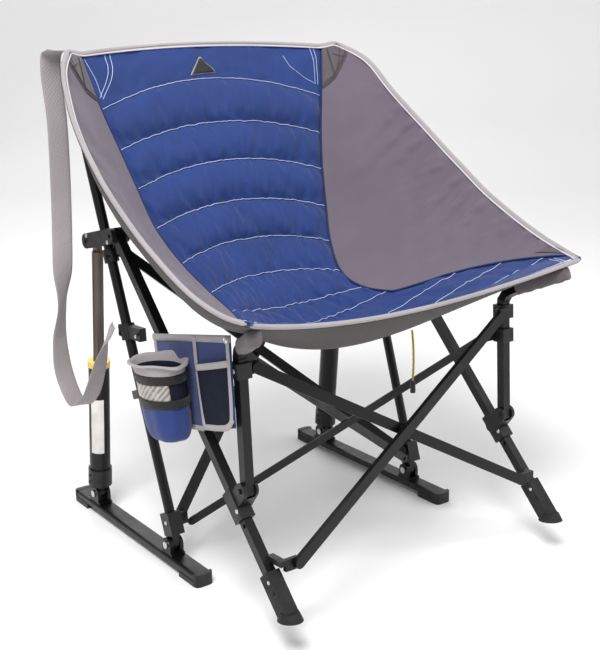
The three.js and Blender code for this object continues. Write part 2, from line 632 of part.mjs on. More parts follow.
// ---- shoulder strap and pull cord ----
// Each station of the strap: its middle, then the direction across it.
const STRAP_ROUTE = [
  [[-338.5, 243, 926], [1, -0.2, 0]],
  [[-340.5, 262, 919], [1, -0.2, 0]],
  [[-341, 270, 890], [1, -0.2, 0]],
  [[-337, 271, 800], [1, -0.2, 0]],
  [[-339, 275, 690], [1, -0.4, 0]],
  [[-344, 283, 560], [1, -0.5, 0]],
  [[-352, 291, 445], [0.8, 0.7, 0]],
  [[-357, 306, 375], [1, 0.4, 0]],
  [[-353, 306, 300], [1, 0, 0]],
  [[-346, 268, 247], [1, 0, -0.1]],
  [[-338, 228, 272], [1, 0, 0]],
  [[-330, 198, 330], [1, 0.2, 0.2]],
  [[-325, 172, 384], [0.7, 0.5, 0.5]],
  [[-321, 138, 424], [0.1, 0.7, 0.66]],
];

function makeStrap() {
  const middle = new THREE.CatmullRomCurve3(STRAP_ROUTE.map((s) => vec(s[0])), false, "centripetal");
  const across = new THREE.CatmullRomCurve3(STRAP_ROUTE.map((s) => vec(s[1])), false, "centripetal");
  const rows = [];
  for (let i = 0; i <= STRAP_STEPS; i += 1) {
    const t = i / STRAP_STEPS;
    const tangent = middle.getTangent(t);
    const side = across.getPoint(t).normalize();
    side.addScaledVector(tangent, -side.dot(tangent)).normalize();
    const center = middle.getPoint(t);
    rows.push([-0.5, 0, 0.5].map((k) => center.clone().addScaledVector(side, k * STRAP_WIDTH)));
  }
  addMesh("shoulder_strap", shellFromGrid(rows, STRAP_THICK), GREY_WEB);
}

const CORD_ROUTE = [[90, -231, 402], [91, -232, 370], [92, -230, 335], [91, -228, 306]];

function makePullCord() {
  const outline = new THREE.Shape();
  outline.absarc(0, 0, 2.2, 0, 2 * Math.PI, false);
  const path = new THREE.CatmullRomCurve3(CORD_ROUTE.map(vec));
  addMesh("pull_cord", new THREE.ExtrudeGeometry(outline, {
    steps: 14, bevelEnabled: false, extrudePath: path, curveSegments: 4,
  }), YELLOW_CORD);
  const end = CORD_ROUTE[CORD_ROUTE.length - 1];
  addMesh("pull_cord_toggle", cylinderAt([end[0], end[1], end[2] - GAP], [end[0], end[1], end[2] - 22], 5, 16),
    BLACK_PLASTIC);
}

// ---- assembly ----
for (const [side, tag] of [[-1, "left"], [1, "right"]]) {
  makeRail(side, tag);
  makeClevis(side, tag, "front", FRONT_PIN, TONGUE, 15);
  makeClevis(side, tag, "rear", REAR_PIN, TONGUE, 18);
  makeGasSpring(side, tag);
  makeRearHub(side, tag);
  makeUpright(side, tag);
  makeUpperBracket(side, tag);
  makeLeg(side, tag);
  makeLegHub(side, tag);
  makeFoot(side, tag);
  makeFrontPost(side, tag);
}
makeSpringLabel();
makeMidBracket();
makePostBracket("cross_bracket_right", 1, 408, "front_bar_outer", -278 + BAR_THICK / 2);
makePostBracket("cross_bracket_left", -1, 408, "front_bar_inner", -264 + BAR_THICK / 2);
makePostBracket("strip_bracket_right", 1, 362, "diagonal_strip_lower", -245);
makeCrossBars();
makeRivets();
makePod();
makePouch();
makeCupHolder();
makeStrap();
makePullCord();

export default chair;
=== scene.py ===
"""The looks of a folding rocking chair with a quilted pod seat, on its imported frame.

Metres, +Z up, the chair faces -Y. Measures named *_MM are in the chair's own level, in millimetres.
"""
import math

import bpy
import numpy as np
from mathutils import Matrix, Vector

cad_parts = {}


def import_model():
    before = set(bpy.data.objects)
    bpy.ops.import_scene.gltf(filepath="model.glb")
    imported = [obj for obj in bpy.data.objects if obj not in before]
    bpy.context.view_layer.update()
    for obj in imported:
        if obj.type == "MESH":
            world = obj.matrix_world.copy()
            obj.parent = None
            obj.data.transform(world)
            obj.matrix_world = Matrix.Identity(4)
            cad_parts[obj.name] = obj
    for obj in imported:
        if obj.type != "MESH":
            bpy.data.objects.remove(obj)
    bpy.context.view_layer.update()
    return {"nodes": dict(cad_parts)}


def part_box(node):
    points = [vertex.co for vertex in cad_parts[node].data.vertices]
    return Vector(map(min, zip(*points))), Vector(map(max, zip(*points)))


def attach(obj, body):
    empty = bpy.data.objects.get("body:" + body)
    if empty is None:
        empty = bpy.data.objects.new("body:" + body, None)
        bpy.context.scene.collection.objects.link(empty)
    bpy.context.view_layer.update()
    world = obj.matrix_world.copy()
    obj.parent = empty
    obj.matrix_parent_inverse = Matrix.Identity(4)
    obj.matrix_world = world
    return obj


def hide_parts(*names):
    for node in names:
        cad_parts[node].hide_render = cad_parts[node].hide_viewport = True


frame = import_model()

FRAME_TILT = math.radians(3.0)
FRAME_SHIFT = np.array([0.0, -0.0085, 0.024])
UV = "Cloth"

def world(points):
    """Millimetres in the chair's own level to metres in the row frame."""
    p = np.asarray(points, float) / 1000.0
    c, s = math.cos(FRAME_TILT), math.sin(FRAME_TILT)
    turned = np.stack([p[..., 0], p[..., 1] * c + p[..., 2] * s, p[..., 2] * c - p[..., 1] * s], -1)
    return turned + FRAME_SHIFT

def turned(direction):
    return Vector(world(np.asarray(direction, float) * 1000.0) - FRAME_SHIFT)

def placed(name, data):
    """A new object in the scene."""
    made = bpy.data.objects.new(name, data)
    bpy.context.scene.collection.objects.link(made)
    return made

# ---- camera ----
CAMERA_AT = (-1243.1, -1745.3, 876.0)
CAMERA_TURN = (-35.597, 12.759, -2.639)
CAMERA_LENS = 63.04

def make_camera():
    az, el, roll = (math.radians(a) for a in CAMERA_TURN)
    back = Vector((math.sin(az) * math.cos(el), -math.cos(az) * math.cos(el), math.sin(el)))
    right = (-back).cross(Vector((0, 0, 1))).normalized()
    up = right.cross(-back)
    across = right * math.cos(roll) + up * math.sin(roll)
    above = up * math.cos(roll) - right * math.sin(roll)
    data = bpy.data.cameras.new("camera")
    data.sensor_width = 36.0
    data.lens = CAMERA_LENS
    camera = placed("camera", data)
    axes = Matrix([turned(across), turned(above), turned(back)]).transposed().to_4x4()
    camera.matrix_world = Matrix.Translation(Vector(world(CAMERA_AT))) @ axes
    bpy.context.scene.camera = camera

make_camera()

# ---- curves ----
def catmull(points, t, alpha=0.0):
    """The point at t, from 0 to 1, of a Catmull-Rom curve: alpha 0 is uniform, 0.5 centripetal."""
    p = np.asarray(points, float)
    last = len(p) - 1
    place = min(max(t, 0.0), 1.0) * last
    i = min(int(place), last - 1)
    w = place - i
    p1, p2 = p[i], p[i + 1]
    p0 = p[i - 1] if i > 0 else 2 * p1 - p2
    p3 = p[i + 2] if i + 2 <= last else 2 * p2 - p1
    if alpha == 0.0:
        a, b = 0.5 * (p2 - p0), 0.5 * (p3 - p1)
    else:
        d0, d1, d2 = (max(np.linalg.norm(y - x) ** alpha, 1e-6) for x, y in ((p0, p1), (p1, p2), (p2, p3)))
        a = ((p1 - p0) / d0 - (p2 - p0) / (d0 + d1) + (p2 - p1) / d1) * d1
        b = ((p2 - p1) / d1 - (p3 - p1) / (d1 + d2) + (p3 - p2) / d2) * d1
    return p1 + a * w + (3 * (p2 - p1) - 2 * a - b) * w**2 + (2 * (p1 - p2) + a + b) * w**3

def curve_points(points, steps, alpha=0.5):
    return np.array([catmull(points, i / steps, alpha) for i in range(steps + 1)])

def distances(points):
    """How far along a path each of its points is."""
    return np.concatenate([[0], np.cumsum(np.linalg.norm(np.diff(points, axis=0), axis=1))])

def unit(vectors):
    return vectors / np.maximum(np.linalg.norm(vectors, axis=-1, keepdims=True), 1e-12)

def turns(sides):
    """The angles of a ring with that many sides."""
    return [2 * math.pi * j / sides for j in range(sides)]

def squarish(value, power):
    """A cosine or sine bent so that a round section turns square with rounded corners."""
    return math.copysign(abs(value) ** power, value)

def wobble(p, size, seed=0.0):
    """Smooth repeatable unevenness between -1 and 1 at points p, in metres; size is its wavelength."""
    q = np.asarray(p, float) * (2 * math.pi / size)
    x, y, z = q[..., 0], q[..., 1], q[..., 2]
    a = np.sin(x * 1.0 + y * 0.7 + seed) * np.cos(z * 1.3 - x * 0.4 + seed * 1.7)
    b = np.sin(y * 1.9 - z * 0.8 + seed * 2.3) * np.cos(x * 1.6 + y * 0.3 - seed)
    c = np.sin(z * 2.3 + x * 1.1 - seed * 0.6) * np.cos(y * 2.1 + z * 0.5 + seed * 3.1)
    return 0.5 * a + 0.3 * b + 0.2 * c

# ---- materials ----
def start_material(name, color, rough, metallic=0.0, **sockets):
    mat = bpy.data.materials.new(name)
    mat.use_nodes = True
    tree = mat.node_tree
    shader = tree.nodes["Principled BSDF"]
    shader.inputs["Base Color"].default_value = (*color, 1.0)
    shader.inputs["Roughness"].default_value = rough
    shader.inputs["Metallic"].default_value = metallic
    for key, value in sockets.items():
        shader.inputs[key.replace("_", " ")].default_value = value
    return mat, tree, shader

def node(tree, kind, **values):
    made = tree.nodes.new("ShaderNode" + kind)
    for key, value in values.items():
        if hasattr(made, key):
            setattr(made, key, value)
        else:
            made.inputs[key.replace("_", " ")].default_value = value
    return made

def object_coords(tree, stretch=(1, 1, 1)):
    where = node(tree, "TexCoord")
    mapping = node(tree, "Mapping")
    mapping.inputs["Scale"].default_value = stretch
    tree.links.new(where.outputs["Object"], mapping.inputs["Vector"])
    return mapping.outputs["Vector"]

def cloth_coords(tree):
    return node(tree, "UVMap", uv_map=UV).outputs["UV"]

def noise(tree, vector, scale, detail=3.0, rough=0.55):
    made = node(tree, "TexNoise", Scale=scale, Detail=detail, Roughness=rough)
    tree.links.new(vector, made.inputs["Vector"])
    return made.outputs["Fac"]

def spread(tree, value, low, high, from_low=0.3, from_high=0.7):
    made = node(tree, "MapRange")
    tree.links.new(value, made.inputs["Value"])
    for key, number in (("From Min", from_low), ("From Max", from_high), ("To Min", low), ("To Max", high)):
        made.inputs[key].default_value = number
    return made.outputs["Result"]

def mixed(tree, factor, a, b):
    made = node(tree, "Mix", data_type="RGBA")
    tree.links.new(factor, made.inputs["Factor"])
    for socket, value in (("A", a), ("B", b)):
        target = [i for i in made.inputs if i.name == socket and i.type == "RGBA"][0]
        if isinstance(value, tuple):
            target.default_value = (*value, 1.0)
        else:
            tree.links.new(value, target)
    return [o for o in made.outputs if o.type == "RGBA"][0]

def math_node(tree, operation, a, b):
    made = node(tree, "Math", operation=operation)
    for i, value in enumerate((a, b)):
        if isinstance(value, (int, float)):
            made.inputs[i].default_value = value
        else:
            tree.links.new(value, made.inputs[i])
    return made.outputs[0]

def link_surface(tree, shader, tone, rough, height, strength, distance):
    """Links a material's colour, its roughness and its fine relief."""
    tree.links.new(tone, shader.inputs["Base Color"])
    tree.links.new(rough, shader.inputs["Roughness"])
    bump = node(tree, "Bump", Strength=strength, Distance=distance)
    tree.links.new(height, bump.inputs["Height"])
    tree.links.new(bump.outputs["Normal"], shader.inputs["Normal"])

def shaded(color, factor):
    return tuple(min(1.0, c * factor) for c in color)

def weave_height(tree, coords, pitch, twill=0.0):
    """Warp and weft threads, pitch metres apart, with a diagonal twill when asked."""
    waves = []
    for direction in ("X", "Y"):
        wave = node(tree, "TexWave", wave_type="BANDS", bands_direction=direction, Scale=0.314 / pitch)
        tree.links.new(coords, wave.inputs["Vector"])
        waves.append(wave.outputs["Fac"])
    both = math_node(tree, "MULTIPLY", *waves)
    if twill:
        diagonal = node(tree, "TexWave", wave_type="BANDS", bands_direction="DIAGONAL", Scale=0.22 / pitch)
        tree.links.new(coords, diagonal.inputs["Vector"])
        both = math_node(tree, "ADD", both, math_node(tree, "MULTIPLY", diagonal.outputs["Fac"], twill))
    return both

def fabric(name, color, rough, pitch, bump, sheen, mottle, twill=0.0, slub=0.0):
    """Woven cloth: pitch is its thread spacing in metres, mottle its unevenness, slub its streaks."""
    mat, tree, shader = start_material(
        name, color, rough, Sheen_Weight=sheen, Sheen_Roughness=0.45, Specular_IOR_Level=0.35
    )
    around = object_coords(tree)
    coords = cloth_coords(tree)
    broad = spread(tree, noise(tree, around, 7.0, 4.0), 0.0, 1.0)
    tone = mixed(tree, broad, shaded(color, 1 - mottle), shaded(color, 1 + mottle))
    weave = weave_height(tree, coords, pitch, twill)
    threads = math_node(tree, "MULTIPLY", spread(tree, weave, 1.0, 0.0, 0.0, 0.8), 0.4)
    tone = mixed(tree, threads, tone, shaded(color, 0.62))
    fuzz = noise(tree, around, 420.0, 2.0)
    if slub:
        streaks = noise(tree, object_coords(tree, (1, 1, 9)), 60.0, 3.0)
        tone = mixed(tree, math_node(tree, "MULTIPLY", streaks, slub), tone, shaded(color, 1.5))
    creases = math_node(tree, "MULTIPLY", noise(tree, around, 38.0, 5.0, 0.6), 1.6)
    nap = math_node(tree, "MULTIPLY", fuzz, 0.5)
    height = math_node(tree, "ADD", math_node(tree, "ADD", weave, nap), creases)
    link_surface(tree, shader, tone, spread(tree, fuzz, rough - 0.08, rough + 0.1), height, bump, 0.0012)
    return mat

def painted_steel(name, color, rough=0.33):
    mat, tree, shader = start_material(name, color, rough, Specular_IOR_Level=0.34)
    around = object_coords(tree)
    dust = spread(tree, noise(tree, around, 11.0, 5.0), 0.0, 0.55, 0.45, 0.8)
    scuffs = spread(tree, noise(tree, object_coords(tree, (5, 5, 0.6)), 55.0, 4.0, 0.7), 0.0, 0.5, 0.64, 0.74)
    tone = mixed(tree, dust, color, shaded(color, 1.7))
    tone = mixed(tree, scuffs, tone, (0.05, 0.047, 0.046))
    rough_map = spread(tree, noise(tree, around, 24.0, 4.0), rough - 0.08, rough + 0.12)
    link_surface(tree, shader, tone, rough_map, noise(tree, around, 900.0, 2.0), 0.16, 0.0006)
    return mat

def moulded(name, color, rough=0.5, grain=700.0, bump=0.3):
    mat, tree, shader = start_material(name, color, rough, Specular_IOR_Level=0.45)
    around = object_coords(tree)
    cloud = spread(tree, noise(tree, around, 16.0, 4.0), 0, 1)
    tone = mixed(tree, cloud, shaded(color, 0.82), shaded(color, 1.25))
    rough_map = spread(tree, noise(tree, around, 45.0, 3.0), rough - 0.07, rough + 0.12)
    link_surface(tree, shader, tone, rough_map, noise(tree, around, grain, 2.0), bump, 0.0005)
    return mat

def brushed(name, color, rough, stretch, metallic=1.0):
    mat, tree, shader = start_material(name, color, rough, metallic)
    lines = noise(tree, object_coords(tree, stretch), 260.0, 3.0, 0.7)
    cloud = noise(tree, object_coords(tree), 14.0, 4.0)
    tone = mixed(tree, spread(tree, lines, 0, 1), shaded(color, 0.78), shaded(color, 1.22))
    tone = mixed(tree, spread(tree, cloud, 0.0, 0.35, 0.5, 0.8), tone, shaded(color, 0.55))
    link_surface(tree, shader, tone, spread(tree, cloud, rough - 0.06, rough + 0.12), lines, 0.12, 0.0004)
    return mat

def hatched_window(name):
    mat, tree, shader = start_material(name, (0.46, 0.42, 0.38), 0.3, Coat_Weight=0.6, Coat_Roughness=0.15)
    coords = cloth_coords(tree)
    hatch = node(tree, "TexWave", wave_type="BANDS", bands_direction="DIAGONAL", Scale=62.0, Distortion=2.5)
    tree.links.new(coords, hatch.inputs["Vector"])
    tone = mixed(tree, spread(tree, hatch.outputs["Fac"], 0, 1), (0.2, 0.18, 0.165), (0.4, 0.37, 0.34))
    glare = spread(tree, noise(tree, object_coords(tree), 60.0, 3.0), 0.0, 0.6, 0.55, 0.7)
    tone = mixed(tree, glare, tone, (0.55, 0.53, 0.5))
    link_surface(tree, shader, tone, spread(tree, glare, 0.2, 0.45, 0, 1), hatch.outputs["Fac"], 0.5, 0.001)
    return mat

MATERIALS = {
    "black_steel": (painted_steel, (0.0030, 0.0027, 0.0028)),
    "black_plastic": (moulded, (0.0045, 0.0041, 0.0042), 0.42),
    "rubber": (moulded, (0.012, 0.011, 0.011), 0.7, 420.0, 0.5),
    "rivet_steel": (brushed, (0.6, 0.6, 0.59), 0.28, (1, 6, 6)),
    "grey_chrome": (brushed, (0.115, 0.094, 0.08), 0.3, (9, 9, 0.6), 0.75),
    "yellow_plastic": (moulded, (0.78, 0.56, 0.12), 0.42, 300.0, 0.2),
    "label": (moulded, (0.74, 0.72, 0.7), 0.38, 200.0, 0.15),
    "blue_cloth": (fabric, (0.0165, 0.050, 0.226), 0.6, 0.0012, 0.42, 0.16, 0.16),
    "sleeve_cloth": (fabric, (0.13, 0.115, 0.118), 0.8, 0.0016, 0.4, 0.2, 0.25, 0.3, 0.15),
    # painted shade: a darker copy of the blue cloth, for the shadow along the seam between the quilted panel
    # and the side panels
    "seam_cloth": (fabric, (0.012, 0.032, 0.14), 0.65, 0.0012, 0.4, 0.15, 0.2),
    "grey_cloth": (fabric, (0.175, 0.142, 0.180), 0.74, 0.0014, 0.4, 0.3, 0.1, 0.3, 0.12),
    "pocket_cloth": (fabric, (0.125, 0.104, 0.118), 0.75, 0.0014, 0.4, 0.3, 0.16, 0.3, 0.1),
    "under_cloth": (fabric, (0.05, 0.042, 0.041), 0.8, 0.0016, 0.4, 0.2, 0.25, 0.3, 0.15),
    "navy_cloth": (fabric, (0.003, 0.007, 0.022), 0.9, 0.0012, 0.4, 0.0, 0.2),
    "bag_cloth": (fabric, (0.016, 0.042, 0.2), 0.6, 0.0012, 0.35, 0.25, 0.16),
    "binding": (fabric, (0.43, 0.395, 0.41), 0.7, 0.0018, 0.45, 0.3, 0.12, 0.0, 0.1),
    "piping": (fabric, (0.78, 0.74, 0.76), 0.55, 0.0016, 0.35, 0.3, 0.06),
    "black_web": (fabric, (0.013, 0.012, 0.012), 0.65, 0.0022, 0.6, 0.2, 0.3, 0.5),
    "grey_web": (fabric, (0.4, 0.36, 0.375), 0.72, 0.0024, 0.7, 0.35, 0.12, 0.6),
    "yellow_cord": (fabric, (0.62, 0.4, 0.035), 0.6, 0.002, 0.6, 0.3, 0.2, 0.6),
    "thread_pale": (moulded, (0.5, 0.58, 0.78), 0.55, 900.0, 0.3),
    "thread_dark": (moulded, (0.05, 0.042, 0.045), 0.6, 900.0, 0.3),
    "patch": (moulded, (0.022, 0.021, 0.024), 0.5, 500.0, 0.35),
    "patch_edge": (moulded, (0.3, 0.29, 0.27), 0.5, 500.0, 0.35),
    "window": (hatched_window,),
    "snap": (brushed, (0.72, 0.72, 0.73), 0.22, (5, 1, 5)),
}
MAT = {name: maker(name, *values) for name, (maker, *values) in MATERIALS.items()}

# ---- mesh helpers ----
def mesh_piece(name, verts, faces, material, uvs):
    data = bpy.data.meshes.new(name)
    data.from_pydata([tuple(v) for v in np.asarray(verts, float)], [], [tuple(f) for f in faces])
    layer = data.uv_layers.new(name=UV)
    corners = np.zeros(len(data.loops), np.int32)
    data.loops.foreach_get("vertex_index", corners)
    layer.data.foreach_set("uv", np.asarray(uvs, float)[corners].ravel())
    data.polygons.foreach_set("use_smooth", [True] * len(data.polygons))
    data.materials.append(MAT[material])
    data.validate()
    obj = placed(name, data)
    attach(obj, "frame")
    return obj

def grid_normals(grid):
    """Unit normals of a grid of points, along cross(columns, rows)."""
    du = np.gradient(grid, axis=1)
    dv = np.gradient(grid, axis=0)
    return unit(np.cross(du, dv))

def grid_uvs(grid):
    """Fabric coordinates in metres: along the rows and down the columns."""
    mid_row = np.linalg.norm(np.diff(grid, axis=1), axis=-1)
    mid_col = np.linalg.norm(np.diff(grid, axis=0), axis=-1)
    u = np.concatenate([np.zeros((grid.shape[0], 1)), np.cumsum(mid_row, axis=1)], 1)
    v = np.concatenate([np.zeros((1, grid.shape[1])), np.cumsum(mid_col, axis=0)], 0)
    u = u - u.mean(axis=1, keepdims=True)
    v = np.repeat(v.mean(axis=1, keepdims=True), grid.shape[1], axis=1)
    return np.stack([u, v], -1).reshape(-1, 2)

def quads(rows, cols, wrap_rows=False, wrap_cols=False):
    """The faces of a grid of points; wrapping joins its last row or column to its first."""
    faces = []
    for i in range(rows if wrap_rows else rows - 1):
        for j in range(cols if wrap_cols else cols - 1):
            k, m = (i + 1) % rows, (j + 1) % cols
            faces.append((i * cols + j, i * cols + m, k * cols + m, k * cols + j))
    return faces

def shell(name, front, behind, material, wrap=False):
    """One closed body between two grids of the same size; wrap joins the first and last columns."""
    rows, cols = front.shape[:2]
    shift, foot = rows * cols, (rows - 1) * cols
    faces = quads(rows, cols, wrap_cols=wrap)
    faces += [tuple(k + shift for k in reversed(face)) for face in faces]
    for a in range(cols if wrap else cols - 1):
        b = (a + 1) % cols
        faces.append((b, a, a + shift, b + shift))
        faces.append((foot + a, foot + b, foot + b + shift, foot + a + shift))
    if not wrap:
        for a in range(0, foot, cols):
            b, side = a + cols, cols - 1
            faces.append((a, b, b + shift, a + shift))
            faces.append((b + side, a + side, a + side + shift, b + side + shift))
    verts = np.concatenate([front.reshape(-1, 3), behind.reshape(-1, 3)])
    return mesh_piece(name, verts, faces, material, np.tile(grid_uvs(front), (2, 1)))

FIRST_UP = (0.31, 0.17, 0.93)

def path_frames(path, closed=False):
    """Side and up at each point of a path, without twist."""
    path = np.asarray(path, float)
    ahead = np.roll(path, -1, 0) - np.roll(path, 1, 0)
    if not closed:
        ahead[0], ahead[-1] = path[1] - path[0], path[-1] - path[-2]
    up = np.array(FIRST_UP)
    sides, ups = [], []
    for t in unit(ahead):
        up = unit(up - t * np.dot(up, t))
        sides.append(np.cross(t, up))
        ups.append(up)
    return np.array(sides), np.array(ups)

def swept(name, rings, material, closed=False):
    """A body through rings of points; its ends are closed unless the path is."""
    rings = np.asarray(rings, float)
    count, sides = rings.shape[:2]
    faces = quads(count, sides, closed, True)
    if not closed:
        faces.append(tuple(range(sides))[::-1])
        faces.append(tuple((count - 1) * sides + j for j in range(sides)))
    girth, along = distances(rings[0]), distances(rings.mean(axis=1))
    uvs = [(girth[j], along[i]) for i in range(count) for j in range(sides)]
    return mesh_piece(name, rings.reshape(-1, 3), faces, material, uvs)

def tube(name, path, radius, material, sides, closed=False, lobes=0, twist=0.0):
    """A round tube; lobes and twist, in turns a metre, make it a laid or braided cord."""
    path = np.asarray(path, float)
    side, up = path_frames(path, closed)
    along = distances(path)
    radii = np.broadcast_to(radius, (len(path),))
    rings = []
    for i, p in enumerate(path):
        ring = []
        for turn in turns(sides):
            r = radii[i]
            if lobes:
                r *= 0.9 + 0.1 * math.cos(lobes * turn + 2 * math.pi * twist * along[i])
            ring.append(p + side[i] * math.cos(turn) * r + up[i] * math.sin(turn) * r)
        rings.append(ring)
    return swept(name, rings, material, closed)

def join_pieces(name, parts):
    """Several pieces of one material as one object."""
    for o in bpy.context.selected_objects:
        o.select_set(False)
    for part in parts:
        part.select_set(True)
    bpy.context.view_layer.objects.active = parts[0]
    bpy.ops.object.join()
    parts[0].name = name
    parts[0].data.name = name
    return parts[0]

def soften(obj):
    modifier = obj.modifiers.new("fine", "SUBSURF")
    modifier.levels = modifier.render_levels = 1

# ---- the pull cord ----
CORD_ROUTE_MM = [[90, -231, 402], [91, -232, 370], [92, -230, 335], [91, -228, 306]]
CORD_DIAMETER = 0.0044

def make_cord():
    route = world(curve_points(CORD_ROUTE_MM, 48))
    cord = tube("pull_cord_rope", route, CORD_DIAMETER / 2, "yellow_cord", 12, lobes=3, twist=95.0)
    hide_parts("pull_cord")

make_cord()

# ---- materials of the frame's own pieces ----
SLOT_OF = [
    ("spring_label", "label"), ("spring_ring", "yellow_plastic"), ("spring_tube", "black_steel"),
    ("spring_rod", "grey_chrome"), ("pin_", "rivet_steel"), ("front_cross_rivet", "rivet_steel"),
    ("rear_cross_rivet", "rivet_steel"), ("pull_cord_toggle", "black_plastic"), ("foot_", "rubber"),
]
PLASTIC_PARTS = ("_cap_", "rear_hub", "upright_stop", "_bracket", "leg_hub", "spring_base")

def dress_frame():
    for name, obj in frame["nodes"].items():
        slot = next((s for start, s in SLOT_OF if name.startswith(start)), None)
        if slot is None:
            slot = "black_plastic" if any(k in name for k in PLASTIC_PARTS) else "black_steel"
        if not len(obj.data.materials):
            obj.data.materials.append(MAT[slot])
        for i in range(len(obj.data.materials)):
            obj.data.materials[i] = MAT[slot]

dress_frame()

# ---- the pod's surface ----
STATIONS_MM = np.array([
    [[0, 292, 934], [285, 262, 921], [312, 250, 928]],
    [[0, 268, 862], [260, 237, 814], [352, 190, 888]],
    [[0, 238, 775], [239, 216, 737], [370, 135, 825]],
    [[0, 212, 700], [221, 192, 663], [380, 85, 778]],
    [[0, 185, 620], [204, 162, 588], [386, 35, 737]],
    [[0, 150, 545], [178, 118, 522], [389, -15, 697]],
    [[0, 100, 480], [155, 57, 470], [390, -65, 661]],
    [[0, 36, 425], [155, -8, 446], [389, -120, 623]],
    [[0, -40, 392], [180, -78, 441], [388, -175, 592]],
    [[0, -110, 382], [218, -150, 448], [387, -230, 564]],
    [[0, -185, 392], [260, -225, 464], [384, -285, 541]],
    [[0, -255, 425], [308, -305, 488], [376, -345, 523]],
    [[0, -316, 465], [348, -380, 510], [359, -393, 515]],
], float)
LAST = len(STATIONS_MM) - 1
SIDE_BULGE_MM = 26.0
BULGE_WAY = np.array([0.62, 0.45, -0.64])
SEAM_STATION = [0, 8, 8.3, 8.6, 9, 9.65, 10.5, 11.5, 12]
SEAM_REACH = [0, 0, 0.12, 0.26, 0.38, 0.52, 0.68, 0.93, 0.99]
QUILT_LINES = [0, 1, 2, 3, 4, 5, 6, 7.05, 7.8, 8.8, 9.65, 10.6, 12]

def pod_point(t, a):
    """Millimetres at station t; a is 0 on the centre line, 1 on the panel's edge, 2 on the rim, signed."""
    c, e, r = catmull(STATIONS_MM, t / LAST)
    side, reach = (-1.0 if a < 0 else 1.0), abs(a)
    if reach <= 1.0:
        q = reach * reach
        p = np.array([e[0] * reach, c[1] + (e[1] - c[1]) * q, c[2] + (e[2] - c[2]) * q])
    else:
        s = reach - 1.0
        p = e + (r - e) * s + 4 * s * (1 - s) * SIDE_BULGE_MM * math.sin(math.pi * t / LAST) * BULGE_WAY
    p[0] *= side
    return p

def seam(t):
    """Where the seam between the quilted panel and the side panels crosses station t."""
    return 1.0 + float(np.interp(t, SEAM_STATION, SEAM_REACH))

def rows_of(lines, shares):
    """Stations at the given shares of each channel between two quilt lines."""
    rows = []
    for a, b in zip(lines[:-1], lines[1:]):
        rows += [a + (b - a) * k for k in shares]
    return rows + [lines[-1]]

def pod_grid(ts, across):
    """Row-frame grid; across(t) gives the row's a values."""
    return world([[pod_point(t, a) for a in across(t)] for t in ts])

class Skin:
    """A finished surface that threads, patches and labels are laid on."""

    def __init__(self, ts, across, grid):
        self.ts, self.across, self.grid = np.array(ts), across, grid
        self.out = grid_normals(grid)

    def at(self, t, a, lift):
        """The point at station t and place a, lifted by metres towards the sitter."""
        i = min(float(np.interp(t, self.ts, np.arange(len(self.ts)))), len(self.ts) - 1.001)
        places = np.array(self.across(t))
        order = np.argsort(places)
        j = min(float(np.interp(a, places[order], np.arange(len(places))[order])), len(places) - 1.001)
        i0, j0, fi, fj = int(i), int(j), i - int(i), j - int(j)

        def blended(g):
            low = g[i0, j0] * (1 - fj) + g[i0, j0 + 1] * fj
            high = g[i0 + 1, j0] * (1 - fj) + g[i0 + 1, j0 + 1] * fj
            return low * (1 - fi) + high * fi

        return blended(self.grid) - unit(blended(self.out)) * lift

# ---- cloth simulation ----
CLOTH_FRAMES = 20

def puffed(name, grid, pinned, pressure, growth, cap, stiffness):
    """The grid after its cloth has swollen between its pinned points, moved by no more than cap."""
    faces = [(a, d, c, b) for a, b, c, d in quads(*grid.shape[:2])]
    data = bpy.data.meshes.new(name)
    data.from_pydata([tuple(p) for p in grid.reshape(-1, 3)], [], faces)
    obj = placed(name, data)
    scene = bpy.context.scene
    group = obj.vertex_groups.new(name="pin")
    group.add([int(k) for k in np.nonzero(pinned.ravel())[0]], 1.0, "REPLACE")
    cloth = obj.modifiers.new("cloth", "CLOTH")
    s = cloth.settings
    s.quality, s.mass, s.time_scale = 6, 0.25, 1.0
    s.tension_stiffness = s.compression_stiffness = stiffness
    s.shear_stiffness, s.bending_stiffness = stiffness * 0.4, 0.12
    s.use_pressure, s.uniform_pressure_force = True, pressure
    s.vertex_group_mass, s.shrink_min = "pin", -growth
    s.effector_weights.gravity = 0.0
    cloth.collision_settings.use_collision = False
    cloth.point_cache.frame_start, cloth.point_cache.frame_end = 1, CLOTH_FRAMES
    for step in range(1, CLOTH_FRAMES + 1):
        scene.frame_set(step)
    moved = obj.evaluated_get(bpy.context.evaluated_depsgraph_get()).to_mesh()
    co = np.zeros(len(moved.vertices) * 3)
    moved.vertices.foreach_get("co", co)
    bpy.data.objects.remove(obj)
    scene.frame_set(1)
    shift = co.reshape(grid.shape) - grid
    size = np.linalg.norm(shift, axis=-1, keepdims=True)
    limit = cap * np.tanh(size / cap)
    return grid + shift * (limit / np.maximum(size, 1e-9))

def held_back(front, base, out, slack):
    """The front, with nothing of it more than slack behind the base."""
    sunk = np.maximum(((front - base) * out).sum(-1) - slack, 0)
    return front - out * sunk[..., None]

# ---- the quilted panel ----
PANEL_COLS = 76
PANEL_SHARES = (0, 0.035, 0.09, 0.19, 0.32, 0.46, 0.6, 0.74, 0.86, 0.94, 0.98)
PANEL_BACK = 0.0036
PANEL_RECESS = 0.0026
PANEL_PUFF = 0.0105
GATHER_DEPTH = 0.0052
RUCK_DEPTH = 0.0034

def panel_across(t):
    return np.linspace(-1, 1, PANEL_COLS + 1) * (seam(t) - 0.003)

def channel_share(t):
    """How far station t is down its channel, from 0 at the upper line to 1 at the lower one."""
    k = min(int(np.searchsorted(QUILT_LINES, t, "right")) - 1, len(QUILT_LINES) - 2)
    return (t - QUILT_LINES[k]) / (QUILT_LINES[k + 1] - QUILT_LINES[k])

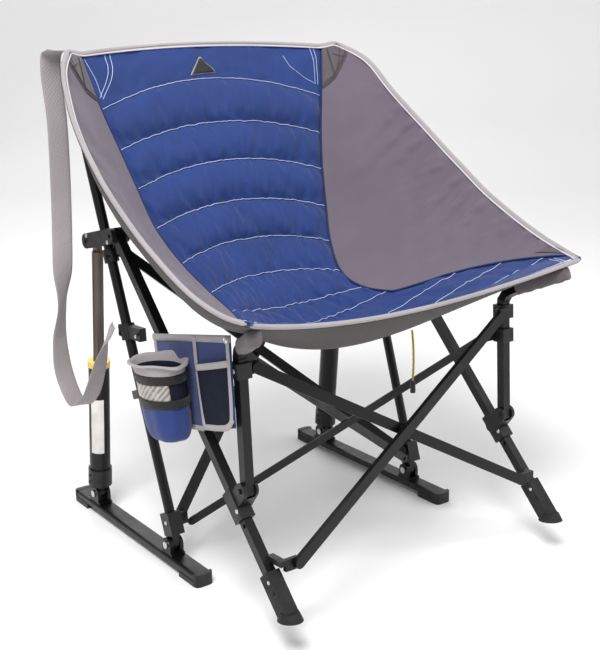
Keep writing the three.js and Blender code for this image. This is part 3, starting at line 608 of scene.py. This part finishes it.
def quilt_profile(ts, cols):
    """0 on each stitched line and on the border; fullest low in each channel, where the filling settles."""
    share = np.array([channel_share(t) for t in ts])
    share[np.abs(np.array(ts)[:, None] - np.array(QUILT_LINES)).min(1) < 1e-6] = 0.0
    row = share**0.8 * np.maximum(1 - share, 0) ** 0.5 / 0.47
    u = 1 - np.abs(np.linspace(-1, 1, cols))
    return row[:, None] * (1 - np.exp(-((u / 0.04) ** 2)))[None, :]

def puckers(grid, ts):
    """Short gathers that run out of each stitched line, across the channel."""
    share = np.array([channel_share(t) for t in ts])
    near = np.exp(-((share / 0.5) ** 2)) + 0.9 * np.exp(-(((1 - share) / 0.36) ** 2))
    strong = np.interp(ts, [0, 0.98, 1.02, 3, 5, 8, 12], [0, 0, 0.45, 0.8, 1.25, 1.3, 0.8])
    fine = wobble(grid * np.array([1, 0.3, 0.3]), 0.024, 0.7)
    broad = 0.7 * wobble(grid * np.array([1, 0.5, 0.4]), 0.05, 2.6)
    return (near * strong)[:, None] * (fine + broad)

def make_panel():
    ts = rows_of(QUILT_LINES, PANEL_SHARES)
    profile = quilt_profile(ts, PANEL_COLS + 1)
    ts[0], ts[-1] = 0.05, 11.94
    base = pod_grid(ts, panel_across)
    out = grid_normals(base)
    row_puff = np.interp(ts, [0, 0.9, 1.05, 6, 8, 12], [0.2, 0.3, 1, 1, 0.8, 0.5])[:, None]
    start = base + out * PANEL_RECESS - out * (profile * row_puff * PANEL_PUFF)[..., None]
    pinned = profile < 1e-4
    front = puffed("panel_cloth", start, pinned, 4.0, 0.07, 0.010, 9.0)
    swell = np.interp(ts, [0, 0.95, 1.1, 7, 12], [0.35, 0.45, 1, 0.9, 0.6])[:, None, None]
    front = start + (front - start) * swell
    ruck = wobble(front * np.array([0.3, 1, 2.6]), 0.055, 1.3)
    flat_band = np.interp(ts, [0, 0.1, 0.5, 0.95, 1.05], [0, 0.7, 1, 0.5, 0])[:, None]
    gather = puckers(base, ts) * np.minimum(profile * 3, 1) * GATHER_DEPTH
    front = front - out * (ruck * flat_band * RUCK_DEPTH + gather)[..., None]
    front = held_back(front, base, out, PANEL_RECESS)
    piece = shell("quilted_panel", front, base + out * PANEL_BACK, "blue_cloth")
    soften(piece)
    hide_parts("pod_seat")
    return Skin(ts, panel_across, front)

panel = make_panel()

# ---- side panels and the lining ----
SIDE_COLS = 26
SIDE_THICK = 0.0018
SIDE_SLACK = 0.0012
FOLD_DEPTH = 0.0062
LUMP_DEPTH = 0.0042
RIM_LIFT = 0.0006
SIDE_TS = rows_of(QUILT_LINES, [k / 14 for k in range(14)])
SIDE_TS[0], SIDE_TS[-1] = 0.06, 11.9

def side_across(sign):
    def across(t):
        return sign * np.linspace(seam(t) + 0.001, 1.975, SIDE_COLS + 1)
    return across

def make_side(sign, tag):
    across = side_across(sign)
    base = pod_grid(SIDE_TS, across)
    if sign < 0:
        base = base[:, ::-1]
    out = grid_normals(base)
    pinned = np.ones(base.shape[:2], bool)
    pinned[1:-1, 1:-1] = False
    front = puffed(f"side_cloth_{tag}", base, pinned, 0.12, 0.022, 0.006, 6.0)
    front = held_back(front, base, out, SIDE_SLACK)
    ts = np.array(SIDE_TS)[:, None]
    middle = np.sin(math.pi * np.linspace(0, 1, len(SIDE_TS)))[:, None]
    edge = np.linspace(0, 1, base.shape[1])[None, ::sign]
    near_rim = np.exp(-(((1 - edge) / 0.4) ** 2)) * middle
    pull = wobble(np.stack([base[..., 0] * 0.2, base[..., 1], base[..., 2]], -1), 0.034, 0.8)
    folds = np.sin(ts * 7.4 + edge * 2.6 + 1.7 * np.sin(ts * 1.9)) + near_rim * pull * 0.9
    lumps = np.sin(math.pi * edge) * middle * (wobble(base * np.array([1.0, 1.0, 0.55]), 0.13, 0.3) + 0.25)
    relief = near_rim * folds * FOLD_DEPTH + lumps * LUMP_DEPTH - near_rim * RIM_LIFT
    front = front - out * relief[..., None]
    front[:, 0], front[:, -1] = base[:, 0], base[:, -1]
    front = held_back(front, base, out, SIDE_SLACK)
    piece = shell(f"side_panel_{tag}", front, front + out * SIDE_THICK, "grey_cloth")
    soften(piece)
    if sign < 0:
        return Skin(SIDE_TS, lambda t: across(t)[::-1], front)
    return Skin(SIDE_TS, across, front)

sides = {"right": make_side(1, "right"), "left": make_side(-1, "left")}

WELT_RADIUS = 0.0021

def make_seam_shade_welts():
    """A dark blue tube along the seam between the quilted panel and each side panel, its colour painted shade
    for the shadow along the seam.
    """
    welts = []
    for sign in (1, -1):
        path = [world(pod_point(t, sign * (seam(t) - 0.001))) for t in np.linspace(0.12, 11.88, 170)]
        welts.append(tube(f"welt_{sign}", path, WELT_RADIUS, "seam_cloth", 8))
    join_pieces("seam_shade_welts", welts)

make_seam_shade_welts()

LINING_THICK = 0.0018
LINING_DEPTH = 0.0052
LINING_SAG = 0.003

def make_lining():
    ts = rows_of(QUILT_LINES, [k / 6 for k in range(6)])
    ts[0], ts[-1] = 0.06, 11.9
    across = np.linspace(-1.972, 1.972, 65)
    base = pod_grid(ts, lambda t: across)
    out = grid_normals(base)
    slack = wobble(base, 0.16, 0.4) * 0.0004
    from_rim = np.minimum(2 - np.abs(across), 0.25)[None, :] / 0.25
    from_hem = np.minimum(np.minimum(np.array(ts), LAST - np.array(ts)), 0.5)[:, None] / 0.5
    depth = LINING_DEPTH + LINING_SAG * np.minimum(from_rim, from_hem)
    under = base + out * (depth + slack)[..., None]
    piece = shell("pod_lining", under - out * LINING_THICK, under, "under_cloth")
    soften(piece)

make_lining()

# ---- the rim: binding and piping ----
RIM_STEP = 0.007
BINDING_SECTION = [
    (-8, -0.8), (-6, -1.7), (-3, -2.0), (-0.5, -1.6), (1.4, 0.0), (2.0, 2.0), (1.6, 4.2), (-0.5, 5.8),
    (-3.5, 6.3), (-3.5, 5.4), (-1.0, 4.9), (-0.6, 2.4), (-1.0, 0.2), (-4, -0.4), (-8, -0.1),
]

def border_loop():
    """Points and outward normals once round the pod's border, corners rounded."""
    ts = np.linspace(0, LAST, 97)
    across = np.linspace(-2, 2, 65)
    grid = pod_grid(ts, lambda t: across)
    out = grid_normals(grid)
    out[0], out[-1] = out[1], out[-2]
    rounds = [(grid[0], out[0]), (grid[1:, -1], out[1:, -2]), (grid[-1, -2::-1], out[-3, -2::-1]),
              (grid[-2:0:-1, 0], out[-2:0:-1, 1])]
    points = np.concatenate([r[0] for r in rounds])
    normals = np.concatenate([r[1] for r in rounds])
    keep = np.linalg.norm(points - np.roll(points, 1, 0), axis=1) > 0.0015
    points, normals = points[keep], normals[keep]
    length = distances(np.vstack([points, points[:1]]))
    count = int(length[-1] / RIM_STEP)
    places = np.linspace(0, length[-1], count, endpoint=False)

    def evened(v, rounds):
        v = np.stack([np.interp(places, length, np.append(v[:, k], v[0, k])) for k in range(3)], 1)
        for _ in range(rounds):
            v = v * 0.5 + (np.roll(v, 1, 0) + np.roll(v, -1, 0)) * 0.25
        return v

    points, normals = evened(points, 3), evened(normals, 14)
    ahead = unit(np.roll(points, -1, 0) - np.roll(points, 1, 0))
    normals = unit(normals - ahead * (normals * ahead).sum(1, keepdims=True))
    return points, normals, np.cross(ahead, normals)

PIPING_RADIUS = 0.0017
PIPING_INSET = (0.0083, -0.0014)
HEM_CORD_RADIUS = 0.0011
HEM_CORD_INSET = (0.0042, 0.0064)

def make_rim():
    points, normals, outward = border_loop()
    rings = []
    for p, n, d, r in zip(points, normals, outward, wobble(points, 0.09, 2.0) * 0.5):
        section = [(u + r * (0.5 if u < -5 else 0.2), w) for u, w in BINDING_SECTION]
        rings.append([p + d * u / 1000 + n * w / 1000 for u, w in section])
    binding = swept("rim_binding", rings, "binding", closed=True)
    inner = points - outward * PIPING_INSET[0] + normals * PIPING_INSET[1]
    tube("rim_piping", inner, PIPING_RADIUS, "piping", 8, closed=True)
    below = points - outward * HEM_CORD_INSET[0] + normals * HEM_CORD_INSET[1]
    tube("rim_cord", below, HEM_CORD_RADIUS, "under_cloth", 8, closed=True)

make_rim()

# ---- fabric sleeves over the upper ends of the front posts ----
POST_TOP_MM = (344, -372, 486)
POST_BEND_MM = (307, -280, 451)
SLEEVE_HALF_MM = (11.9, 12.8)
SLEEVE_END = [(0.8, 0.96), (2.4, 0.78), (3.4, 0.42), (3.7, 0.08)]

def make_post_sleeves():
    for sign, tag in ((1, "right"), (-1, "left")):
        low, high = np.array(POST_BEND_MM, float), np.array(POST_TOP_MM, float)
        way = unit(high - low)
        side = unit(np.cross(way, (0, 0, 1)))
        up = np.cross(side, way)
        stops = [(low + (high - low) * share, 1.0 + 0.04 * math.sin(k * 2.1))
                 for k, share in enumerate(np.linspace(0.03, 1.0, 16))]
        stops += [(high + way * ahead, grow) for ahead, grow in SLEEVE_END]
        rings = []
        for k, (middle, grow) in enumerate(stops):
            middle = middle + np.array([0.0, 0.0, 1.5 + 0.6 * math.sin(min(k, 15) * 1.4)])
            ring = []
            for turn in turns(20):
                wide = squarish(math.cos(turn), 0.6) * SLEEVE_HALF_MM[0] * grow
                tall = squarish(math.sin(turn), 0.6) * SLEEVE_HALF_MM[1] * grow
                p = middle + side * wide + up * tall
                ring.append((p[0] * sign, p[1], p[2]))
            rings.append(world(ring if sign > 0 else ring[::-1]))
        sleeve = swept(f"post_sleeve_{tag}", rings, "sleeve_cloth")

make_post_sleeves()

# ---- stitching ----
STITCH_PITCH = 0.0042
FINE_THREAD = 0.0007
ROW_SHOULDER = 0.028

def thread(name, points, material="thread_pale", radius=0.0009):
    """A sewn line: long stitches with a dip at each needle hole."""
    points = np.asarray(points, float)
    length = distances(points)
    count = max(6, int(length[-1] / (STITCH_PITCH / 3)))
    places = np.linspace(0, length[-1], count)
    path = np.stack([np.interp(places, length, points[:, k]) for k in range(3)], 1)
    dip = np.abs(np.sin(math.pi * places / STITCH_PITCH)) ** 0.6
    return tube(name, path, radius * (0.45 + 0.55 * dip), material, 6)

def skin_line(skin, marks, lift=0.0006, steps=60):
    """Points over a skin, along a curve through marks of (station, place)."""
    return np.array([skin.at(t, a, lift) for t, a in curve_points(marks, steps)])

def make_stitching():
    rows = []
    for k, t in enumerate(QUILT_LINES[1:-1]):
        edge = seam(t) - 0.012
        above = skin_line(panel, [(t - ROW_SHOULDER, -edge), (t - ROW_SHOULDER, edge)], 0.0009, 160)
        below = skin_line(panel, [(t + ROW_SHOULDER, -edge), (t + ROW_SHOULDER, edge)], 0.0009, 160)
        rows.append(thread(f"stitch_{k}", (above + below) / 2))
    corners = [
        [(0.09, -0.80), (0.4, -0.835), (0.6, -0.885), (0.80, -0.975)],
        [(0.09, -0.76), (0.42, -0.80), (0.64, -0.86), (0.84, -0.955)],
        [(0.12, -0.975), (0.45, -0.955), (0.80, -0.955)],
        [(0.09, 0.90), (0.4, 0.93), (0.78, 0.95)],
        [(0.09, 0.93), (0.4, 0.955), (0.78, 0.97)],
        [(0.3, 0.68), (0.52, 0.73), (0.68, 0.83), (0.77, 0.94)],
        [(11.0, 1.55), (11.4, 1.3), (11.85, 0.97)],
        [(11.1, 1.6), (11.5, 1.36), (11.88, 1.03)],
        [(11.0, -1.55), (11.4, -1.3), (11.85, -0.97)],
        [(11.1, -1.6), (11.5, -1.36), (11.88, -1.03)],
    ]
    for k, marks in enumerate(corners):
        rows.append(thread(f"corner_stitch_{k}", skin_line(panel, marks), radius=FINE_THREAD))
    join_pieces("quilting_thread", rows)

make_stitching()

# ---- sewn-on corners and the plain patch ----
PATCH_THICK = 0.0016

def laid_patch(name, skin, marks, lift, material, thick=PATCH_THICK):
    """A sewn patch over a skin; marks is a grid of (station, place)."""
    top = np.array([[skin.at(t, a, lift + thick) for t, a in row] for row in marks])
    bottom = np.array([[skin.at(t, a, lift) for t, a in row] for row in marks])
    if np.dot(grid_normals(top)[1, 1], top[1, 1] - bottom[1, 1]) > 0:
        top, bottom = top[:, ::-1], bottom[:, ::-1]
    return shell(name, top, bottom, material)

def corner_depth(place):
    return float(np.interp(place, [1.0, 1.3, 1.45, 1.7, 2.0], [0.86, 0.84, 0.74, 0.6, 0.42]))

POCKET_LIFT = 0.0028

def make_corner_pockets():
    threads = []
    for sign, tag in ((1, "right"), (-1, "left")):
        skin = sides[tag]

        def sewn(marks):
            line = skin_line(skin, [(t, sign * a) for t, a in marks], POCKET_LIFT)
            threads.append(thread("pocket_thread", line, "thread_dark", FINE_THREAD))

        places = np.linspace(1.02, 1.9, 13)
        downs = np.linspace(0, 1, 11)
        marks = [[(0.1 + (corner_depth(a) - 0.1) * v, sign * a) for a in places] for v in downs]
        pocket = laid_patch(f"corner_pocket_{tag}", skin, marks, 0.0006, "pocket_cloth")
        for inset in (0.05, 0.09):
            sewn([(corner_depth(a) - inset, a) for a in np.linspace(1.05, 1.88, 9)])
            sewn([(0.12, 1.24 + inset * 0.8), (corner_depth(1.3) - 0.05, 1.28 + inset * 0.8)])
        sewn([(0.22, 1.85), (0.66, 1.42)])
        sewn([(0.3, 1.48), (0.56, 1.76)])
        tip = []
        for v in np.linspace(0, 1, 9):
            reach = [1.74 + (0.2 + 0.02 * v) * u + 0.2 * v * (1 - u) for u in np.linspace(0, 1, 7)]
            tip.append([(10.25 + 1.1 * v, sign * a) for a in reach])
        laid_patch(f"front_corner_{tag}", skin, tip, 0.0005, "pocket_cloth", 0.0014)
    join_pieces("corner_thread", threads)

make_corner_pockets()

def make_plain_patch():
    tip, left, right = np.array([0.40, -0.045]), np.array([0.90, -0.165]), np.array([0.87, 0.075])

    def marks(inset):
        middle = (tip + left + right) / 3
        a, b, c = (middle + (k - middle) * inset for k in (tip, left, right))
        rows = []
        for v in np.linspace(0.06, 1, 10):
            rows.append([tuple(a + (b - a) * v + (c - b) * v * u) for u in np.linspace(0, 1, 10)])
        return rows

    laid_patch("patch_border", panel, marks(1.0), 0.0008, "patch_edge", 0.0011)
    laid_patch("patch_face", panel, marks(0.86), 0.0022, "patch", 0.0009)

make_plain_patch()

# ---- rivet heads on the brackets ----
# for each kind of part: its places in the part's box (back, up), their radius in mm, and where they show
RIVETS = [
    ("upper_bracket", [(0.16, 0.5), (0.84, 0.5)], 4.2, [("left", -1), ("right", 1), ("right", -1)]),
    ("mid_bracket", [(0.2, 0.5), (0.8, 0.5)], 3.8, [("left", -1)]),
    ("leg_hub", [(0.3, 0.35), (0.62, 0.72)], 4.4, [("left", -1), ("right", -1), ("right", 1)]),
    ("foot", [(0.72, 0.78)], 3.6, [("left", -1), ("right", -1)]),
    ("rear_hub", [(0.5, 0.72)], 4.2, [("left", -1), ("right", -1)]),
    ("cross_bracket", [(0.5, 0.5)], 4.2, [("left", -1), ("right", -1)]),
]
HEAD_RISE = 0.55
HEAD = [(1.0, 0), (1.0, 0.35), (0.86, 0.62), (0.5, 0.82), (0.02, 0.9)]

def face_point(name, side, share):
    """The first point and normal of a node met from its left (-1) or right (1) at a place in its box."""
    low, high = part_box(name)
    start = Vector((side, low.y + (high.y - low.y) * share[0], low.z + (high.z - low.z) * share[1]))
    shape = frame["nodes"][name]
    back = shape.matrix_world.inverted()
    hit, where, normal, _ = shape.ray_cast(back @ start, back.to_3x3() @ Vector((-side, 0, 0)))
    return (shape.matrix_world @ where, normal) if hit else (None, None)

def rivet_head(name, where, side, radius):
    size = radius / 1000
    rings = []
    for r, h in HEAD:
        x = where.x + side * h * size * HEAD_RISE
        rings.append([(x, where.y + math.cos(turn) * r * size, where.z + side * math.sin(turn) * r * size)
                      for turn in turns(18)])
    return swept(name, rings, "rivet_steel")

def make_rivets():
    heads = []
    for kind, places, radius, shown in RIVETS:
        for hand, side in shown:
            for share in places:
                where, normal = face_point(f"{kind}_{hand}", side, share)
                if where is not None and abs(normal.x) >= 0.8:
                    heads.append(rivet_head(f"rivet_{len(heads)}", where, side, radius))
    join_pieces("bracket_rivets", heads)

make_rivets()

# ---- the shoulder strap ----
STRAP_ROUTE_MM = [
    [[-338.5, 243, 926], [1, -0.2, 0]], [[-340.5, 262, 919], [1, -0.2, 0]], [[-341, 270, 890], [1, -0.2, 0]],
    [[-337, 271, 800], [1, -0.2, 0]], [[-339, 275, 690], [1, -0.4, 0]], [[-344, 283, 560], [1, -0.5, 0]],
    [[-352, 291, 445], [0.8, 0.7, 0]], [[-357, 306, 375], [1, 0.4, 0]],
    [[-353, 306, 300], [1, 0, 0]], [[-346, 268, 247], [1, 0, -0.1]], [[-338, 228, 272], [1, 0, 0]],
    [[-330, 198, 330], [1, 0.2, 0.2]], [[-325, 172, 384], [0.7, 0.5, 0.5]],
    [[-321, 138, 424], [0.1, 0.7, 0.66]],
]
STRAP_WIDTH = 0.038
STRAP_THICK = 0.0022

def ribbon(name, route_mm, width, thick, material, steps, cols, curl=0.0, pinch=0.0):
    """Flat webbing along a route, each point with the direction its width lies in."""
    middle = world(curve_points([r[0] for r in route_mm], steps))
    across = curve_points([r[1] for r in route_mm], steps)
    across = np.array([tuple(turned(a)) for a in across])
    ahead = unit(np.gradient(middle, axis=0))
    across = unit(across - ahead * (across * ahead).sum(1, keepdims=True))
    up = np.cross(ahead, across)
    s = np.linspace(-0.5, 0.5, cols + 1)
    sag = curl * (1 - (2 * s) ** 2)
    left = 1 - np.linspace(0, 1, len(middle))
    gathered = (1 - pinch * np.exp(-((left / 0.03) ** 2)))[:, None, None]
    front = middle[:, None] + across[:, None] * (s * width)[None, :, None] * gathered
    front = front + up[:, None] * sag[None, :, None]
    ripple = wobble(front, 0.07, 0.9)[..., None] * 0.0004
    front = front + up[:, None] * ripple
    half = up[:, None] * (thick / 2) * (1 - 0.55 * np.abs(2 * s) ** 6)[None, :, None]
    return shell(name, front - half, front + half, material), front

def make_strap():
    strap, face = ribbon(
        "carry_strap", STRAP_ROUTE_MM, STRAP_WIDTH, STRAP_THICK, "grey_web", 180, 10, curl=0.0012, pinch=0.55
    )
    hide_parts("shoulder_strap")

make_strap()

# ---- the side pouch ----
POUCH_X_MM = -314.0
POUCH_TOP_MM = [(-6, 430), (-257, 468)]
POUCH_FOOT_MM = [(-22, 268), (-160, 288), (-257, 314)]
POCKET_TOP_MM = [(-150, 402), (-255, 428)]
POCKET_FOOT_MM = [(-166, 292), (-255, 317)]

def along(line, u):
    """A point at u, from 0 to 1, of a line of (y, z) points, by its y."""
    ys = [p[0] for p in line]
    y = ys[0] + (ys[-1] - ys[0]) * u
    order = np.argsort(ys)
    return np.array([y, np.interp(y, np.array(ys)[order], np.array([p[1] for p in line])[order])])

def pouch_grid(top, foot, cols, rows, depth):
    """A patch between two lines in the pouch's plane; depth(u, v) is how far out it stands, in mm."""
    grid = []
    for v in np.linspace(1, 0, rows):
        row = []
        for u in np.linspace(0, 1, cols):
            y, z = along(foot, u) * (1 - v) + along(top, u) * v
            row.append((POUCH_X_MM - depth(u, v), y, z))
        grid.append(row)
    return world(grid)

TAPE_THICK_MM = 1.5

def tape(name, route, width, x_mm):
    """Binding tape in the pouch's plane along (y, z) points."""
    route = curve_points([(x_mm, y, z) for y, z in route], 40)
    across = np.cross(unit(np.gradient(route, axis=0)), (1.0, 0, 0))
    s = np.linspace(-0.5, 0.5, 5)
    rise = (1 - (2 * s) ** 4) * TAPE_THICK_MM * 0.8 + TAPE_THICK_MM * 0.35
    back = route[:, None] + across[:, None] * (s * width)[None, :, None]
    front = back + np.array([-1.0, 0, 0]) * rise[None, :, None]
    return shell(name, world(front), world(back), "binding")

def make_pouch():
    calm = lambda u, v: 16 * u * (1 - u) * v * (1 - v)
    depth = lambda u, v: 1.3 + calm(u, v) * 1.2 * math.sin(9 * u + 4 * v) * 0.6
    outer = pouch_grid(POUCH_TOP_MM, POUCH_FOOT_MM, 40, 24, depth)
    inner = pouch_grid(POUCH_TOP_MM, POUCH_FOOT_MM, 40, 24, lambda u, v: depth(u, v) - 2.2)
    back = shell("pouch_back", outer, inner, "bag_cloth")
    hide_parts("pouch_panel")
    swell = lambda u, v: 3.6 + 8.6 * (1 - abs(2 * u - 1) ** 3.0) * min(1.0, 0.25 + 1.1 * v) * min(1.0, v * 4)
    ripple = lambda u, v: swell(u, v) + 0.5 * math.sin(16 * u + 3 * v)
    face = pouch_grid(POCKET_TOP_MM, POCKET_FOOT_MM, 28, 28, ripple)
    behind = pouch_grid(POCKET_TOP_MM, POCKET_FOOT_MM, 28, 28, lambda u, v: ripple(u, v) - 1.4)
    pocket = shell("pouch_pocket", face, behind, "navy_cloth")
    lower = [(-151.4, 391), (-255, 416.5)]
    lip = lambda gap: pouch_grid(POCKET_TOP_MM, lower, 28, 5, lambda u, v: swell(u, 0.9 + 0.1 * v) + gap)
    hem = shell("pocket_hem", lip(2.4), lip(0.9), "binding")
    tapes = [
        tape("tape_top", [(-4, 424), (-259, 462.5)], 12.5, -315.8),
        tape("tape_rear", [(-9, 430), (-12, 400), (-22, 340), (-25, 270)], 10.0, -315.6),
        tape("tape_front", [(-252.5, 466), (-252.5, 400), (-253, 352), (-251, 322)], 10.0, -317.6),
        tape("tape_divider", [(-149, 450), (-151.5, 402), (-158, 350), (-165, 292)], 10.5, -317.6),
        tape("tape_foot", [(-163, 295.5), (-205, 303), (-240, 313), (-256, 330)], 10.5, -317.8),
        tape("tape_rear_foot", [(-24, 272), (-90, 281), (-160, 291)], 9.0, -315.7),
    ]
    join_pieces("pouch_binding", [hem] + tapes)

make_pouch()

SNAP_AT_MM = (-318.4, -249, 459)
SNAP_PROFILE = [
    (0.02, 0), (5.4, 0), (5.8, 0.8), (5.0, 1.8), (3.6, 2.1), (3.2, 1.4), (2.2, 1.2), (1.2, 2.2), (0.02, 2.5),
]

def make_snap():
    """The turned press stud at the pouch's upper front corner."""
    axis = turned((-1, 0, 0)).normalized()
    side = axis.orthogonal().normalized()
    other = axis.cross(side)
    center = Vector(world(SNAP_AT_MM))
    rings = []
    for r, h in SNAP_PROFILE:
        middle = center + axis * h / 1000
        ring = [middle + (side * math.cos(k) + other * math.sin(k)) * r / 1000 for k in turns(24)]
        rings.append([tuple(p) for p in ring])
    swept("pouch_snap", rings, "snap")

make_snap()

# ---- the cup holder ----
CUP_BASE_MM = np.array([-352.5, -112.0, 270.0])
CUP_HALF_MM = (40.0, 50.0)
CUP_LEAN = (-0.04, 0.14)
CUP_PROFILE = ([0, 10, 40, 136], [0.66, 0.84, 0.93, 1.0])
CUP_SIDES = 64

def cup_ring(height, grow=0.0, scale=None, start=0.0, end=360.0, count=CUP_SIDES, wave=None, closed=True):
    """A ring of the cup holder at a height; grow is how far it stands out, in mm."""
    rho = float(np.interp(height, *CUP_PROFILE)) if scale is None else scale
    ring = []
    for k in range(count if closed else count + 1):
        turn = math.radians(start + (end - start) * k / count)
        lift, flare = wave(turn) if wave else (0.0, 0.0)
        h = height + lift
        x = CUP_BASE_MM[0] + CUP_LEAN[0] * h + math.cos(turn) * (CUP_HALF_MM[0] * rho + grow + flare)
        y = CUP_BASE_MM[1] + CUP_LEAN[1] * h + math.sin(turn) * (CUP_HALF_MM[1] * rho + grow + flare)
        ring.append((x, y, CUP_BASE_MM[2] + h))
    return ring

def cup_wall(name, heights, grow, thick, material, **ring):
    outer = world([cup_ring(h, grow(h), **ring) for h in heights])
    inner = world([cup_ring(h, grow(h) - thick, **ring) for h in heights])
    return shell(name, outer[::-1], inner[::-1], material, wrap=ring.get("closed", True)), outer

def make_cup_holder():
    sag = lambda turn: (0.0, 0.9 * math.sin(5 * turn + 0.6) + 0.6 * math.sin(9 * turn))
    outline = [
        (0.02, 0.4), (0.3, 0.5), (0.52, 1.2), (0.68, 4.0), (0.8, 10.0), (0.89, 22.0), (0.935, 40.0),
        (0.95, 56.0), (0.955, 68.0),
    ]
    outer = world([cup_ring(h, 0.6, scale=s, wave=sag) for s, h in outline])
    inner = world([cup_ring(h + 1.6, -0.6, scale=max(0.01, s - 0.03), wave=sag) for s, h in outline])
    bag = shell("cup_bag", outer[::-1], inner[::-1], "bag_cloth", wrap=True)
    soften(bag)
    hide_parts("cup_holder")
    wall, face = cup_wall("cup_wall", np.linspace(69.5, 124, 9), lambda h: -0.6, 1.6, "navy_cloth")
    opening = {"start": 130, "end": 252, "count": 30, "closed": False}
    cup_wall("cup_window", np.linspace(76, 105, 7), lambda h: 0.9, 1.1, "window", **opening)
    bulge = lambda a, b, top: lambda h: top - 1.0 * abs((h - (a + b) / 2) / ((b - a) / 2)) ** 4
    cup_wall("cup_band_lower", np.linspace(63, 77, 7), bulge(63, 77, 2.9), 1.6, "black_web")
    cup_wall("cup_band_upper", np.linspace(104, 119, 7), bulge(104, 119, 2.7), 1.6, "black_web")
    make_cup_rim()

def make_cup_rim():
    """A floppy gathered collar that stands up from the band and rolls outwards."""
    sections = [
        (117, -0.3), (122, 0.8), (128, 2.4), (133, 3.6), (137, 5.4), (138.5, 7.8), (137, 9.8), (133.5, 10.6),
    ]

    def gather(strength):
        def wave(turn):
            lift = strength * (3.2 * math.sin(2 * turn + 0.9) + 1.6 * math.sin(5 * turn))
            flare = strength * (1.6 * math.sin(4 * turn + 1.1) + 0.9 * math.sin(11 * turn))
            return lift, flare
        return wave

    outer, inner = [], []
    for k, (h, g) in enumerate(sections):
        strength = k / (len(sections) - 1)
        outer.append(cup_ring(h, g + 0.8, scale=1.0, wave=gather(strength)))
        inner.append(cup_ring(h - 0.5 * strength, g - 0.8 + 0.4 * strength, scale=1.0, wave=gather(strength)))
    outer, inner = world(outer), world(inner)
    collar = shell("cup_collar", outer[::-1], inner[::-1], "binding", wrap=True)
    soften(collar)

make_cup_holder()

# ---- the cup holder's tether ----
TETHER_MM = [
    [[-361, -66, 343], [0.2, 0.1, 1]], [[-352, -34, 338], [0.1, 0.1, 1]], [[-340, 8, 326], [0, 0.1, 1]],
    [[-331, 44, 312], [0, 0.2, 1]], [[-327, 70, 304], [0, 0.2, 1]],
]

def make_tether():
    ribbon("cup_tether", TETHER_MM, 0.016, 0.002, "black_web", 50, 6)
    where = np.array([-343.5, -4.0, 329.5])
    rings = []
    for share in (-1.0, -0.86, -0.4, 0.4, 0.86, 1.0):
        round_off = 0.72 if abs(share) == 1.0 else 1.0
        ring = []
        for turn in turns(16):
            thick = squarish(math.cos(turn), 0.45) * 4.2 * round_off
            tall = squarish(math.sin(turn), 0.45) * 11.5 * round_off
            ring.append(where + np.array([thick - share * 3.4, share * 13.0, tall - share * 3.6]))
        rings.append(world(ring))
    swept("tether_buckle", rings, "black_plastic")

make_tether()

# ---- floor and light ----
FLOOR_PROFILE = [(-5.0, 0.0), (3.2, 0.0), (3.9, 0.08), (4.5, 0.4), (4.9, 1.0), (5.0, 1.8), (5.0, 6.0)]
FLOOR_DROP = 0.0002
SKY_STRENGTH = 0.46
LIGHTS = [
    ("key", (-1.9, -1.7, 3.9), 1.7, 175.0),
    ("fill", (2.8, -2.2, 2.0), 3.0, 34.0),
    ("back", (1.0, 3.0, 3.0), 2.4, 44.0),
]

def make_floor():
    """A white floor that curves up into a wall behind the chair."""
    verts = [(x, y, z - FLOOR_DROP) for x in (-7.0, 7.0) for y, z in FLOOR_PROFILE]
    count = len(FLOOR_PROFILE)
    faces = [(k, k + 1, k + 1 + count, k + count) for k in range(count - 1)]
    data = bpy.data.meshes.new("floor")
    data.from_pydata(verts, [], faces)
    data.polygons.foreach_set("use_smooth", [True] * len(faces))
    mat, tree, shader = start_material("floor", (0.9, 0.9, 0.9), 0.85)
    tone = mixed(tree, noise(tree, object_coords(tree), 2.0, 2.0), (0.93, 0.93, 0.93), (0.95, 0.95, 0.95))
    tree.links.new(tone, shader.inputs["Base Color"])
    data.materials.append(mat)
    floor = placed("floor", data)
    floor.rotation_euler = (0, 0, math.radians(-35.6))

def make_light():
    sky = bpy.data.worlds.new("studio")
    sky.use_nodes = True
    sky.node_tree.nodes["Background"].inputs["Color"].default_value = (1.0, 1.0, 1.0, 1.0)
    sky.node_tree.nodes["Background"].inputs["Strength"].default_value = SKY_STRENGTH
    bpy.context.scene.world = sky
    for name, place, size, watts in LIGHTS:
        light = bpy.data.lights.new(name, "AREA")
        light.size, light.energy = size, watts
        lamp = placed(name, light)
        lamp.location = place
        lamp.rotation_euler = (Vector((0, 0, 0.5)) - Vector(place)).to_track_quat("-Z", "Y").to_euler()
    bpy.context.scene.view_settings.view_transform = "Standard"

make_floor()
make_light()
